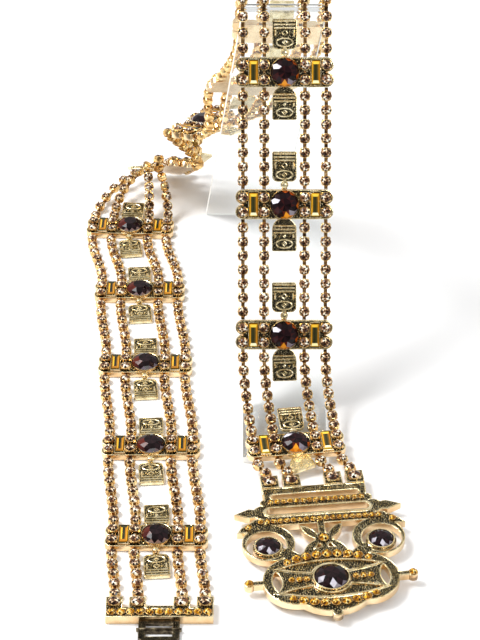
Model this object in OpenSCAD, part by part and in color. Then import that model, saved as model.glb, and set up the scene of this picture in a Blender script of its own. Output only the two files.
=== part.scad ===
// Rhinestone belt laid over a clear bent-sheet display stand, in millimetres.
// Four strands of cup chain run side by side between jewelled station bars.
// The buckle is at the front right, the end bar and its catch at the front left.

/* [Chain] */
// Distance from one cup to the next
cup_pitch = 7; // [6.6:0.1:7.2]
// Diameter of a cup
cup_d = 5.3; // [4.6:0.1:5.6]
// Height of a cup's wall
cup_h = 3.2; // [2.4:0.1:4]
// Offset of the two inner strands from the belt's centre line
inner_off = 9.7; // [9.5:0.1:10.2]
// Offset of the two outer strands from the belt's centre line
outer_off = 19.9; // [19:0.1:20.4]
// Width of the tab that links two cups
tab_w = 1.7; // [1:0.1:2.4]

/* [Station bars] */
// Length of a bar across the belt
bar_w = 47; // [46:0.5:49]
// Size of a bar along the belt
bar_l = 14.3; // [13.5:0.1:15]
// Thickness of a bar's body
bar_h = 3.2; // [2.6:0.1:4]
// Diameter of a bar's round stone
centre_d = 13.4; // [11:0.1:13.6]
// Width of a baguette
baguette_w = 5; // [4:0.1:5.2]
// Length of a baguette
baguette_l = 11.5; // [9:0.1:12]

/* [Cast plates] */
// Width of a cast plate, between the inner strands
plate_w = 11.8; // [11:0.1:12.2]
// Length of the plate that is soldered under each bar's stone
fixed_plate_l = 16; // [13:0.5:17]
// Length of the plate that is looped to each bar
looped_plate_l = 14.5; // [12:0.1:15]
// Thickness of a plate without its relief
plate_t = 1.5; // [1.2:0.1:1.8]

/* [Buckle] */
// Thickness of the buckle's casting
buckle_t = 3.4; // [3:0.1:4]
// Height of the casting's back over the table
buckle_lift = 3; // [2.6:0.1:3.4]
// Side of a square setting block
block_w = 8.3; // [7.6:0.1:8.6]
// Side of a square setting block on the end bar
end_block_w = 7.4; // [6.6:0.1:7.8]
// Diameter of the large stone in the cartouche
large_stone_d = 15; // [12:0.5:15.5]
// Diameter of the two scroll stones
scroll_stone_d = 11; // [8:0.5:11.5]

/* [Stand] */
// Width of the clear sheet
sheet_w = 41; // [36:0.5:42]
// Thickness of the clear sheet
sheet_t = 3; // [2:0.5:4]
// Slope of the front leg from the table
front_slope = 60; // [60:1:60]
// Slope of the back leg from the table
back_slope = 68; // [67:1:69]

/* [Hidden] */
$fn = 24;
gap = 0.15;
OFFSETS = [-outer_off, -inner_off, inner_off, outer_off];

// Rows of the belt, from the buckle to the end bar.
// Columns: x, y, z of the back at the centre line, then turn from +Y, climb and bank in degrees,
// then half the row's length along the belt.
half_bar = bar_l / 2;
half_block = block_w / 2;
half_end_block = end_block_w / 2;
ROWS = [
    [37, -79.5, buckle_lift, 6, 0, 0, half_block],
    [29.8, -54.5, 4.4, 6, 6, 0, half_bar],
    [24.8, -4.7, 34.5, 0, 60, 0, half_bar],
    [24.8, 26.8, 89.1, 0, 60, 0, half_bar],
    [24.8, 58.3, 143.6, 0, 60, 0, half_bar],
    [23, 93.2, 145.4, 5, -68, 5, half_bar],
    [9.6, 122.6, 96.3, 29.6, -50.4, 16.4, half_bar],
    [-15.8, 153.3, 53.5, 60.2, -8.7, 11.1, half_bar],
    [-32.6, 167.9, 16.1, 95.1, 9.5, 38.1, half_bar],
    [-55.9, 132.5, 0.15, 178.3, 0, 0, half_bar],
    [-48.7, 74.3, 0, 180, 0, 0, half_bar],
    [-43.7, 12.2, 0, 180, 0, 0, half_bar],
    [-38.9, -51, 0, 180, 0, 0, half_bar],
    [-34.4, -114.1, 0, 180, 0, 0, half_bar],
    [-31.6, -158.5, 0, 180, 0, 0, half_end_block]
];
FIRST_BAR = 1;
LAST_BAR = 13;
END_ROW = 14;
// Free cups in each bay, and the pull of the curve at both ends of the bay in pitches
BAY_CUPS = [2, 7, 7, 7, 7, 7, 7, 7, 7, 7, 7, 7, 7, 5];
// Closest that the cups of a chain can be pushed together, and the room that a bay's end cups need
CLOSE_STEP = cup_d + 0.2;
END_ROOM = 0.6;
HUMP_ROOM = 1.2;
CURVE_STEPS = 24;
// The pull is no more than this part of the bay's chord, except over the stand's top
PULL_PART = 0.42;
TOP_BAY = 4;
TOP_PULL = 4.5;
// Middle of the whole in the table's x and y, taken off so that the origin is under it
CENTRE = [1.496, 4.617];

function unit(v) = v / norm(v);
function place(i) = [ROWS[i].x - CENTRE.x, ROWS[i].y - CENTRE.y, ROWS[i].z];
// Axes of a row: across the belt, along it towards the end bar, and out of its face
function across(i) = let (t = ROWS[i][3], c = ROWS[i][4], b = ROWS[i][5])
    [cos(t) * cos(b) - sin(t) * sin(c) * sin(b), sin(t) * cos(b) + cos(t) * sin(c) * sin(b), -cos(c) * sin(b)];
function along(i) = let (t = ROWS[i][3], c = ROWS[i][4])
    [-sin(t) * cos(c), cos(t) * cos(c), sin(c)];
function face(i) = cross(across(i), along(i));

// Curve of a strand over one bay, with spare chain rising as a hump
function bay_pull(i, chord) = i == TOP_BAY ? TOP_PULL * cup_pitch
    : min(BAY_CUPS[i] * cup_pitch / 3, PULL_PART * chord);
function bay_flat(i, off) = let (
    a = place(i) + across(i) * off + along(i) * ROWS[i][6],
    d = place(i + 1) + across(i + 1) * off - along(i + 1) * ROWS[i + 1][6],
    pull = bay_pull(i, norm(d - a)))
    [a, a + along(i) * pull, d - along(i + 1) * pull, d];
function bezier(q, t) = pow(1 - t, 3) * q[0] + 3 * pow(1 - t, 2) * t * q[1]
    + 3 * (1 - t) * t * t * q[2] + pow(t, 3) * q[3];
function heading(q, t) = unit(pow(1 - t, 2) * (q[1] - q[0]) + 2 * (1 - t) * t * (q[2] - q[1])
    + t * t * (q[3] - q[2]));
// Length run along a curve at each of its steps, as [length, t] rows
function run_table(q) = [for (k = 0, run = 0; k <= CURVE_STEPS; k = k + 1,
    run = run + norm(bezier(q, k / CURVE_STEPS) - bezier(q, (k - 1) / CURVE_STEPS))) [run, k / CURVE_STEPS]];
function curve_length(q) = run_table(q)[CURVE_STEPS][0];
function share(q, part) = let (table = run_table(q)) lookup(part * table[CURVE_STEPS][0], table);
function hump(i, off) = let (
    q = bay_flat(i, off),
    chord = norm(q[3] - q[0]),
    spare = cup_pitch + (BAY_CUPS[i] - 1) * CLOSE_STEP - curve_length(q))
    spare > 0.3 ? sqrt(3 * chord * (spare + 2 * HUMP_ROOM) / 8) : 0;
function bay_face(i, t) = unit((1 - t) * face(i) + t * face(i + 1));
function bay_curve(i, off) = let (q = bay_flat(i, off), rise = hump(i, off) * 4 / 3 * bay_face(i, 0.5))
    [q[0], q[1] + rise, q[2] + rise, q[3]];

// Carries children to a point with its own axes: across, along and out of the face
module carry(point, way, out) {
    y = unit(way);
    x = unit(cross(y, out));
    z = cross(x, y);
    multmatrix([
        [x.x, y.x, z.x, point.x],
        [x.y, y.y, z.y, point.y],
        [x.z, y.z, z.z, point.z],
        [0, 0, 0, 1]
    ]) children();
}
module at_row(i) carry(place(i), along(i), face(i)) children();

// Cup chain
TAB_Z = 0.5;
TAB_T = 0.7;
STONE_D = 4.4;
module cup(h = cup_h) {
    cylinder(d = cup_d, h = h);
    translate([0, 0, h - 0.05]) cylinder(d1 = STONE_D, d2 = STONE_D * 0.6, h = 1, $fn = 8);
}
// Lower chaton of a bar, its stone cut with straight sides
module chaton(h) {
    cylinder(d = cup_d, h = h);
    cylinder(d = STONE_D * 0.85, h = h + 0.8, $fn = 8);
}
module tab(from, to, out) {
    carry(from, to - from, out)
        translate([-tab_w / 2, 0, TAB_Z]) cube([tab_w, norm(to - from), TAB_T]);
}
// The tabs at both ends of a bay reach to the row's edge and stop short by the gap, or more where they slant
function stop_short(cup, edge, way) = edge
    - (gap + (TAB_Z + TAB_T + gap) * norm(cross(unit(edge - cup), way))) * way;
module bay_chain(i, off) {
    q = bay_curve(i, off);
    n = BAY_CUPS[i];
    end = (cup_pitch / 2 + (hump(i, off) > 0 ? HUMP_ROOM : END_ROOM)) / curve_length(q);
    ts = [for (k = [0:n - 1]) share(q, end + k * (1 - 2 * end) / (n - 1))];
    for (t = ts) carry(bezier(q, t), heading(q, t), bay_face(i, t)) cup();
    for (k = [0:n - 2])
        tab(bezier(q, ts[k]), bezier(q, ts[k + 1]), bay_face(i, (ts[k] + ts[k + 1]) / 2));
    first = bezier(q, ts[0]);
    last = bezier(q, ts[n - 1]);
    tab(first, stop_short(first, q[0], -along(i)), face(i));
    tab(last, stop_short(last, q[3], along(i + 1)), face(i + 1));
}
module strand(s) {
    color("goldenrod") for (i = [0:END_ROW - 1]) bay_chain(i, OFFSETS[s]);
}

// Station bars
CORNER_R = (bar_w / 2 - outer_off);
COLLET_D = centre_d + 1.2;
COLLET_H = 4.6;
SEAT_Z = 2.6;
BAGUETTE_X = (inner_off + outer_off) / 2;
BAGUETTE_SEAT = 2.4;
BAGUETTE_RIM = 4.2;
POST_Y = half_bar + 2.2;
POST_D = 0.8;
LEDGE_T = 0.35;
HEAD_Z = 3.5;
HEAD_T = 0.4;
RING_Z = 1.65;
RING_T = 0.6;
module bar_body() {
    difference() {
        union() {
            translate([-outer_off, -half_bar, 0]) cube([2 * outer_off, bar_l, bar_h]);
            for (x = [-1, 1], y = [-1, 1])
                translate([x * outer_off, y * (half_bar - CORNER_R), 0]) cylinder(r = CORNER_R, h = bar_h);
            cylinder(d = COLLET_D, h = COLLET_H);
            for (x = [-1, 1])
                translate([x * BAGUETTE_X - baguette_w / 2, -baguette_l / 2 - 0.6, 0])
                    cube([baguette_w, baguette_l + 1.2, BAGUETTE_RIM]);
            for (off = OFFSETS, y = [-1, 1])
                translate([off, y * cup_pitch / 2, bar_h - 0.2]) chaton(cup_h - 1.4);
        }
        translate([0, 0, SEAT_Z]) cylinder(d = centre_d + 2 * gap, h = COLLET_H);
        for (x = [-1, 1])
            translate([x * BAGUETTE_X - baguette_w / 2 + 0.4, -baguette_l / 2, BAGUETTE_SEAT])
                cube([baguette_w - 0.8, baguette_l, BAGUETTE_RIM]);
    }
    // Ledge with the headed post that the looped plate hangs on
    translate([-1.3, half_bar - 0.5, 0]) cube([2.6, POST_Y - half_bar + 1.1, LEDGE_T]);
    translate([0, POST_Y, 0]) cylinder(d = POST_D, h = HEAD_Z + HEAD_T / 2);
    translate([0, POST_Y, HEAD_Z]) cylinder(d = 2.5, h = HEAD_T);
}
// A plate points to a spot midway between the two inner strands, with part of its pitch taken out
PITCH_CUT = 0.7;
TWIST_BAY = 7;
TWIST_CUT = 0;
TWIST_ROLL = 0.28;
TWIST_NECK = 2.6;
function plate_way(i, way, bay) = let (v = unit(way), cut = bay == TWIST_BAY ? TWIST_CUT : PITCH_CUT)
    v - cut * (v * face(i)) * face(i);
function beside(i, off, part) = let (q = bay_curve(i, off)) bezier(q, share(q, part));
function middle(i, part) = (beside(i, -inner_off, part) + beside(i, inner_off, part)) / 2;
function plate_mid(i, side) = side > 0 ? middle(i, 0.28) : middle(i - 1, i == FIRST_BAR ? 0.4 : 0.81);
function plate_out(i, side) = side > 0 ? bay_face(i, i == TWIST_BAY ? TWIST_ROLL : 0.08) : bay_face(i - 1, 0.87);
// Cast relief of a plate: three cross ribs at its far end, an oval ring round a lozenge at its near end,
// and a lozenge between two short pillars in the middle
RELIEF_H = 0.6;
RELIEF_SUNK = 0.1;
RIB_W = 0.9;
RIB_STEP = 1.6;
OVAL_Y = 3.4;
OVAL_L = 8.4;
OVAL_W = 4.6;
OVAL_WALL = 0.8;
module relief(l) {
    last_rib = l - 1.1 - 2 * RIB_STEP;
    pillar_y = OVAL_Y + OVAL_W / 2 + 0.6;
    pillar_l = last_rib - RIB_W / 2 - 0.6 - pillar_y;
    translate([0, 0, plate_t - RELIEF_SUNK]) linear_extrude(RELIEF_H + RELIEF_SUNK) {
        for (k = [0:2]) translate([0, last_rib + k * RIB_STEP]) square([plate_w - 1.6, RIB_W], center = true);
        for (x = [-1, 1])
            translate([x * (plate_w / 2 - 1.5), pillar_y + pillar_l / 2]) square([1.2, pillar_l], center = true);
        translate([0, pillar_y + pillar_l / 2]) circle(r = pillar_l / 2 + 0.3, $fn = 4);
        translate([0, OVAL_Y]) {
            difference() {
                stadium(OVAL_L, OVAL_W);
                stadium(OVAL_L - 2 * OVAL_WALL, OVAL_W - 2 * OVAL_WALL);
            }
            circle(r = 1.1, $fn = 4);
        }
    }
}
module fixed_plate(i) {
    start = place(i) - (half_bar - 0.4) * along(i);
    l = i == FIRST_BAR ? 9 : fixed_plate_l;
    carry(start, plate_way(i, start - plate_mid(i, -1), i - 1), plate_out(i, -1))
        translate([0, -l, 0.2]) {
        translate([-plate_w / 2, 0, 0]) cube([plate_w, l - 3, plate_t]);
        translate([0, l - 5.6, 0]) cylinder(d = plate_w, h = plate_t);
        if (i > FIRST_BAR) translate([0, 0.3, 0]) relief(l - 3);
    }
}
module bar(i) {
    color("burlywood") {
        at_row(i) bar_body();
        difference() {
            fixed_plate(i);
            at_row(i) translate([0, 0, SEAT_Z]) cylinder(d = centre_d + 2 * gap, h = COLLET_H);
        }
    }
}
// Body of a looped plate, rounded at the end with the ring
SHOULDER_R = 2.6;
NECK = 1.4;
module looped_body() {
    translate([-plate_w / 2, SHOULDER_R, 0]) cube([plate_w, looped_plate_l - SHOULDER_R, plate_t]);
    translate([SHOULDER_R - plate_w / 2, 0, 0]) cube([plate_w - 2 * SHOULDER_R, SHOULDER_R + 1, plate_t]);
    for (x = [-1, 1])
        translate([x * (plate_w / 2 - SHOULDER_R), SHOULDER_R, 0]) cylinder(r = SHOULDER_R, h = plate_t, $fn = 16);
}
module looped_plate(i) {
    mid_z = RING_Z + RING_T / 2;
    post = place(i) + POST_Y * along(i);
    color("darkkhaki") carry(post + mid_z * face(i), plate_way(i, plate_mid(i, 1) - post, i), plate_out(i, 1)) translate([0, 0, -mid_z]) {
        translate([0, 0, RING_Z]) difference() {
            union() {
                cylinder(d = 3.7, h = RING_T);
                translate([-0.8, 1.2, 0]) cube([1.6, 1.8, RING_T]);
            }
            translate([0, 0, -1]) cylinder(d = 2.3, h = 3);
        }
        translate([0, i == TWIST_BAY ? TWIST_NECK : NECK, 0.2]) {
            looped_body();
            relief(looped_plate_l);
        }
    }
}

// Faceted stones: a girdle, a crown and a table, each ring of facets turned by half a facet
module round_stone(d, girdle, crown) {
    hull() {
        cylinder(d = d, h = girdle, $fn = 12);
        translate([0, 0, girdle + crown * 0.6]) rotate(15) cylinder(d = d * 0.78, h = 0.01, $fn = 12);
        translate([0, 0, girdle + crown - 0.01]) cylinder(d = d * 0.46, h = 0.01, $fn = 12);
    }
}
module centre_stone(i) {
    color("saddlebrown") at_row(i) translate([0, 0, SEAT_Z + 0.05]) round_stone(centre_d, 1.7, 3);
}
module baguette() {
    w = baguette_w - 0.8 - 2 * gap;
    l = baguette_l - 2 * gap;
    translate([-w / 2, -l / 2, 0]) cube([w, l, 1.8]);
    translate([-w / 2 + 0.7, -l / 2 + 0.7, 1.8]) cube([w - 1.4, l - 1.4, 0.5]);
}
module baguettes(side) {
    color("gold") for (i = [FIRST_BAR:LAST_BAR])
        at_row(i) translate([side * BAGUETTE_X, 0, BAGUETTE_SEAT + 0.05]) baguette();
}

// Square setting block with its chaton, at the end of each strand
module block(w, h) {
    translate([-w / 2, -w / 2, 0]) cube([w, w, h]);
    translate([0, 0, h - 0.1]) cup(1.2);
}
PAVE_D = 2.6;
module pave_stone(d = PAVE_D) {
    cylinder(d1 = d, d2 = d * 0.6, h = d * 0.42, $fn = 8);
}

// End bar with the row of citrines, and the ladder-like catch beyond it
END_H = 4.4;
END_STONES = 11;
END_STEP = 4.2;
END_BAR_L = 5.4;
END_STONE_D = 3.6;
module end_bar() {
    color("burlywood") at_row(END_ROW) {
        for (off = OFFSETS) translate([off, 0, 0]) block(end_block_w, END_H);
        translate([-inner_off, 0.4, 0]) cube([2 * inner_off, half_end_block, END_H - 1.4]);
        for (x = [-1, 1])
            translate([x * BAGUETTE_X - 2, 1.2, 0]) cube([4, half_end_block - 1, END_H - 1.4]);
        translate([-bar_w / 2, half_end_block - 0.3, 0]) cube([bar_w, END_BAR_L, END_H]);
    }
}
module end_stones() {
    color("gold") at_row(END_ROW) for (k = [0:END_STONES - 1])
        translate([(k - (END_STONES - 1) / 2) * END_STEP, half_end_block - 0.3 + END_BAR_L / 2, END_H + 0.1])
            pave_stone(END_STONE_D);
}
LADDER_W = 18;
LADDER_L = 12;
LADDER_T = 1.8;
WINDOW_W = 11.5;
CHAMFER = 1.8;
RIDGE_Y = 4.6;
module catch_ladder() {
    color("dimgray") at_row(END_ROW) translate([0, half_end_block - 0.3 + END_BAR_L + gap, 0]) {
        linear_extrude(LADDER_T) difference() {
            polygon([
                [-LADDER_W / 2, 0], [LADDER_W / 2, 0],
                [LADDER_W / 2, LADDER_L - CHAMFER], [LADDER_W / 2 - CHAMFER, LADDER_L],
                [CHAMFER - LADDER_W / 2, LADDER_L], [-LADDER_W / 2, LADDER_L - CHAMFER]
            ]);
            translate([-WINDOW_W / 2, 1.4]) square([WINDOW_W, 2.3]);
            translate([-WINDOW_W / 2, 6.2]) square([WINDOW_W, 3]);
        }
        translate([-LADDER_W / 2 - 0.9, RIDGE_Y, 0.6]) cube([LADDER_W + 1.8, 0.9, LADDER_T]);
    }
}

// Buckle. Its casting runs from the block row towards -y in the row's own axes.
LEDGE_Y = -6;
BAR1_Y = -14;
SLOT_Y = -20.3;
BAR2_Y = -27;
SCROLL_X = 25;
SCROLL_Y = -40.5;
SCROLL_R = 12;
STONE_X = SCROLL_X + 0.6;
STONE_Y = SCROLL_Y - 3.2;
FINIAL_Y = -40;
CART_Y = -66;
CART_R = 20.5;
LOBE_R = 15;
LOBE_X = 15.5;
TIP_X = 36.5;
FIELD_DEPTH = 0.8;
RIM = 0.9;
PAVE_ARC_R = 45;
module stadium(l, w) {
    square([l - w, w], center = true);
    for (x = [-1, 1]) translate([x * (l - w) / 2, 0]) circle(d = w);
}
// Pointed oval of two equal arcs
module lens(l, w) {
    r = (l * l + w * w) / (4 * w);
    intersection() {
        translate([0, r - w / 2]) circle(r = r, $fn = 96);
        translate([0, w / 2 - r]) circle(r = r, $fn = 96);
    }
}
module both_sides() {
    children();
    mirror([1, 0]) children();
}
module cartouche(grow) {
    translate([0, CART_Y]) {
        circle(r = CART_R + grow, $fn = 96);
        for (x = [-1, 1]) translate([x * LOBE_X, 0]) circle(r = LOBE_R + grow, $fn = 96);
    }
}
// Long granulated fields above and below the cartouche's middle row of stones
FIELD_L = 44;
FIELD_W = 7.2;
FIELD_OFF = 7.6;
module fields(grow) {
    for (y = [-1, 1]) translate([0, CART_Y + y * FIELD_OFF]) difference() {
        lens(FIELD_L + 3 * grow, FIELD_W + grow);
        translate([0, -y * FIELD_OFF]) circle(d = large_stone_d + 4.4 - grow);
    }
}
module scroll() {
    difference() {
        circle(r = SCROLL_R, $fn = 64);
        translate([1.2, -1.6]) circle(r = SCROLL_R - 3, $fn = 64);
    }
}
module spike(l, w) {
    polygon([[0, -w / 2], [l * 0.35, -w * 0.7], [l, 0], [l * 0.35, w * 0.7], [0, w / 2]]);
}
module buckle_outline() {
    translate([0, LEDGE_Y]) square([2 * outer_off + block_w, 5], center = true);
    both_sides() translate([outer_off + 1.6, -9]) square([4.4, 12], center = true);
    translate([0, BAR1_Y]) stadium(52, 4.6);
    translate([0, SLOT_Y]) stadium(60, 9);
    both_sides() translate([28, SLOT_Y]) spike(10.5, 4.6);
    translate([0, BAR2_Y]) stadium(62, 5);
    both_sides() {
        translate([31, BAR2_Y - 2]) rotate(-28) lens(17, 5.4);
        translate([SCROLL_X, SCROLL_Y]) scroll();
        translate([STONE_X, STONE_Y]) circle(d = scroll_stone_d + 2.8);
        translate([15.5, -50.5]) rotate(42) lens(22, 7);
        translate([5.6, -35.5]) rotate(52) lens(13, 4.4);
        translate([6.2, -45]) rotate(-50) lens(13, 4.2);
        translate([LOBE_X + LOBE_R + 1.6, CART_Y]) square([10, 2.6], center = true);
        translate([TIP_X, CART_Y]) circle(d = 4.6);
    }
    translate([0, (BAR2_Y + CART_Y + CART_R) / 2]) square([3.4, BAR2_Y - CART_Y - CART_R + 2], center = true);
    translate([0, FINIAL_Y]) circle(r = 4.2);
    translate([0, CART_Y - CART_R - 0.6]) circle(r = 2.4);
    cartouche(0);
}
module buckle_windows() {
    translate([0, -10.1]) stadium(41, 3.2);
    translate([0, SLOT_Y]) stadium(47, 4.4);
    both_sides() translate([LOBE_X + 8.6, CART_Y]) rotate(90) lens(13, 4);
}
module buckle_frame() {
    color("burlywood") at_row(0) {
        difference() {
            union() {
                for (off = OFFSETS) translate([off, 0, 0]) block(block_w, buckle_t + 0.6);
                linear_extrude(buckle_t) difference() {
                    buckle_outline();
                    buckle_windows();
                }
                linear_extrude(buckle_t + 0.4) {
                    difference() {
                        fields(2 * RIM);
                        fields(0);
                    }
                    difference() {
                        translate([0, SLOT_Y]) stadium(49.4, 6.8);
                        translate([0, SLOT_Y]) stadium(47, 4.4);
                    }
                }
                collet(0, CART_Y, large_stone_d);
                both_sides() collet(STONE_X, STONE_Y, scroll_stone_d);
            }
            translate([0, 0, buckle_t - FIELD_DEPTH]) linear_extrude(FIELD_DEPTH + 1) fields(0);
            seat(0, CART_Y, large_stone_d);
            for (x = [-1, 1]) seat(x * STONE_X, STONE_Y, scroll_stone_d);
        }
    }
}
COLLET_RISE = 1.2;
STONE_SEAT = 0.9;
module collet(x, y, d) {
    translate([x, y, 0]) cylinder(d = d + 1.6, h = buckle_t + COLLET_RISE);
}
module seat(x, y, d) {
    translate([x, y, buckle_t - STONE_SEAT]) cylinder(d = d + 2 * gap, h = 4);
}
module buckle_stone(x, y, d) {
    color("saddlebrown") at_row(0) translate([x, y, buckle_t - STONE_SEAT + 0.05]) round_stone(d, 1.8, d * 0.2);
}
// Citrines: straight rows on the bars, arcs over and under the fields, a middle row and single ones
ROW_STEP = 3;
ARC_STEP = 6;
ARC_D = 4.1;
ARC_TOP = 15.4;
ARC_SIDE = 4;
module pave_row(y, n) {
    for (k = [0:n - 1]) translate([(k - (n - 1) / 2) * ROW_STEP, y, 0]) pave_stone();
}
module buckle_pave() {
    color("gold") at_row(0) translate([0, 0, buckle_t + 0.1]) {
        pave_row(BAR1_Y, 15);
        pave_row(BAR2_Y, 19);
        translate([0, FINIAL_Y, 0]) pave_stone(4.4);
        for (s = [0, 180], k = [-ARC_SIDE:ARC_SIDE])
            translate([0, CART_Y, 0]) rotate(s) translate([0, ARC_TOP - PAVE_ARC_R, 0])
                rotate(90 + k * ARC_STEP) translate([PAVE_ARC_R, 0, 0]) pave_stone(abs(k) == ARC_SIDE ? 3.2 : ARC_D);
        for (x = [-1, 1], k = [0:2]) translate([x * (11 + k * 3.3), CART_Y, 0]) pave_stone(2.8);
        for (x = [-1, 1]) translate([x * TIP_X, CART_Y, 0]) pave_stone(3.4);
        for (x = [-1, 1]) translate([x * 33, BAR2_Y - 3, 0]) pave_stone(3);
    }
}
// Hook under the cartouche, which the catch's windows drop over
HOOK_PAD = 12;
HOOK_W = 6;
HOOK_T = 0.9;
module buckle_hook() {
    color("tan") at_row(0) translate([0, CART_Y - 6, 0]) {
        translate([-HOOK_PAD / 2, -6, -HOOK_T - gap]) cube([HOOK_PAD, 10, HOOK_T]);
        translate([-HOOK_W / 2, 1, -buckle_lift]) cube([HOOK_W, 3, buckle_lift - gap]);
        translate([-HOOK_W / 2, -7, -buckle_lift]) cube([HOOK_W, 11, HOOK_T]);
    }
}

// Stand: one clear sheet, bent over at the top and out at the front foot
TOP_R = 8.1;
TOP_Y = 77.8;
TOP_Z = 160.6;
FOOT_R = 5;
LIP_Y = -60;
STAND_X = 25;
SKEW = -20;
BEND_STEPS = 8;
FOOT_Z = sheet_t + FOOT_R;
FOOT_Y = (cos(front_slope) * (FOOT_Z - TOP_Z) + sin(front_slope) * TOP_Y - TOP_R - FOOT_R) / sin(front_slope);
function foot_arc(r) = [for (k = [0:BEND_STEPS]) let (a = front_slope * k / BEND_STEPS)
    [FOOT_Y + r * sin(a), FOOT_Z - r * cos(a)]];
function top_arc(r) = [for (k = [0:BEND_STEPS]) let (a = front_slope - (front_slope + back_slope) * k / BEND_STEPS)
    [TOP_Y - r * sin(a), TOP_Z + r * cos(a)]];
function reversed(v) = [for (k = [len(v) - 1:-1:0]) v[k]];
module stand() {
    leg_l = (TOP_Z + TOP_R * cos(back_slope)) / sin(back_slope) + sheet_t;
    left = STAND_X - sheet_w / 2;
    color("lightcyan", 0.4) translate([-CENTRE.x, -CENTRE.y, 0]) {
        translate([left, 0, 0]) rotate([90, 0, 90]) linear_extrude(sheet_w) polygon(concat(
            [[LIP_Y, sheet_t]], foot_arc(FOOT_R), top_arc(TOP_R),
            reversed(top_arc(TOP_R - sheet_t)), reversed(foot_arc(FOOT_R + sheet_t)), [[LIP_Y, 0]]));
        difference() {
            translate([left, TOP_Y + TOP_R * sin(back_slope), TOP_Z + TOP_R * cos(back_slope)])
                rotate([-back_slope, 0, 0]) translate([0, 0, -sheet_t]) linear_extrude(sheet_t)
                    polygon([[0, -0.3], [sheet_w, -0.3], [sheet_w + SKEW, leg_l], [SKEW, leg_l]]);
            translate([-100, 100, -20]) cube([200, 100, 20]);
        }
    }
}

stand();
for (s = [0:3]) strand(s);
for (i = [FIRST_BAR:LAST_BAR]) {
    bar(i);
    looped_plate(i);
    centre_stone(i);
}
baguettes(-1);  // baguettes_left
baguettes(1);  // baguettes_right
end_bar();
end_stones();
catch_ladder();
buckle_frame();
buckle_stone(0, CART_Y, large_stone_d);  // buckle_stone_large
buckle_stone(-STONE_X, STONE_Y, scroll_stone_d);  // buckle_stone_left
buckle_stone(STONE_X, STONE_Y, scroll_stone_d);  // buckle_stone_right
buckle_pave();
buckle_hook();
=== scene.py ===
import bmesh
import bpy
import math
import numpy as np
import random
from mathutils import Matrix, Vector


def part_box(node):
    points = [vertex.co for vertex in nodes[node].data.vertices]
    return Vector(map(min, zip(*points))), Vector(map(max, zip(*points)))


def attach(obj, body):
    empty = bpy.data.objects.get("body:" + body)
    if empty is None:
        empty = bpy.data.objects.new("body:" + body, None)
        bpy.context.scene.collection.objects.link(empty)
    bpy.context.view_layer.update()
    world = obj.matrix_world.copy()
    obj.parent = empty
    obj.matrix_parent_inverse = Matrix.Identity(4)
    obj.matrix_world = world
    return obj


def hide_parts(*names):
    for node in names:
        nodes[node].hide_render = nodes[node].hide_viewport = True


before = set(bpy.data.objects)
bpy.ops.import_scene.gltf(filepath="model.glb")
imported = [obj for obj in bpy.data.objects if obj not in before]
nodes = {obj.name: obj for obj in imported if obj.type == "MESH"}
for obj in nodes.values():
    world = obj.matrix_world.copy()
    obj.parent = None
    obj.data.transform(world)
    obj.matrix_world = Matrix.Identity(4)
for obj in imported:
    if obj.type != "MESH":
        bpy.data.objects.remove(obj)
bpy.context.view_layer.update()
mm = 0.001
seeds = {"stone": 3, "strands": 20, "bar": 31, "chatons": 40, "plates": (41, 42, 43, 44), "gems": 5,
         "gemTurns": 8, "buckleGems": 17, "baguettes": 11, "grains": 51, "buckleBlocks": 60, "pave": 70,
         "endBlocks": 80, "endStones": 90}


def addObject(name, data):
    item = bpy.data.objects.new(name, data)
    bpy.context.collection.objects.link(item)
    return item


# Camera at the photograph's place
camera = {"place": (2.004, -869.617, 691.3), "pitchDown": 37.0, "lens": 125.8, "sensor": 36, "clip": 50}
eye = addObject("camera", bpy.data.cameras.new("camera"))
eye.location = Vector(camera["place"]) * mm
eye.rotation_euler = (math.radians(90 - camera["pitchDown"]), 0, 0)
eye.data.lens = camera["lens"]
eye.data.sensor_fit = "VERTICAL"
eye.data.sensor_height = camera["sensor"]
eye.data.clip_start = camera["clip"] * mm
bpy.context.scene.camera = eye
print("camera placed")


# Materials

def addNode(tree, kind, inputs=None, **settings):
    node = tree.nodes.new(kind)
    for key, value in settings.items():
        setattr(node, key, value)
    for key, value in (inputs or {}).items():
        if isinstance(value, bpy.types.NodeSocket):
            tree.links.new(value, node.inputs[key])
        else:
            node.inputs[key].default_value = value
    return node


# One output of a new node
def fromNode(tree, kind, output, inputs=None, **settings):
    return addNode(tree, kind, inputs, **settings).outputs[output]


def addMath(tree, operation, first, second, **settings):
    return fromNode(tree, "ShaderNodeMath", 0, {0: first, 1: second}, operation=operation, **settings)


def addRange(tree, source, low, high):
    return fromNode(tree, "ShaderNodeMapRange", "Result", {"Value": source, "To Min": low, "To Max": high})


def addRamp(tree, source, stops):
    ramp = addNode(tree, "ShaderNodeValToRGB", {"Fac": source})
    elements = ramp.color_ramp.elements
    while len(elements) < len(stops):
        elements.new(0.5)
    for element, (place, colour) in zip(elements, stops):
        element.position = place
        element.color = (*colour, 1)
    return ramp.outputs["Color"]


def addTexture(tree, kind, output, **inputs):
    where = fromNode(tree, "ShaderNodeTexCoord", "Object")
    return fromNode(tree, kind, output, {"Vector": where, **inputs})


def addNoise(tree, scale, detail=3, roughness=0.55):
    return addTexture(tree, "ShaderNodeTexNoise", "Fac", Scale=scale, Detail=detail, Roughness=roughness)


def newMaterial(name, **values):
    material = bpy.data.materials.new(name)
    material.use_nodes = True
    shader = material.node_tree.nodes["Principled BSDF"]
    for key, value in values.items():
        shader.inputs[key.replace("_", " ")].default_value = value
    return material, material.node_tree


def feedShader(tree, **sources):
    for key, source in sources.items():
        tree.links.new(source, tree.nodes["Principled BSDF"].inputs[key.replace("_", " ")])


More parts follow.
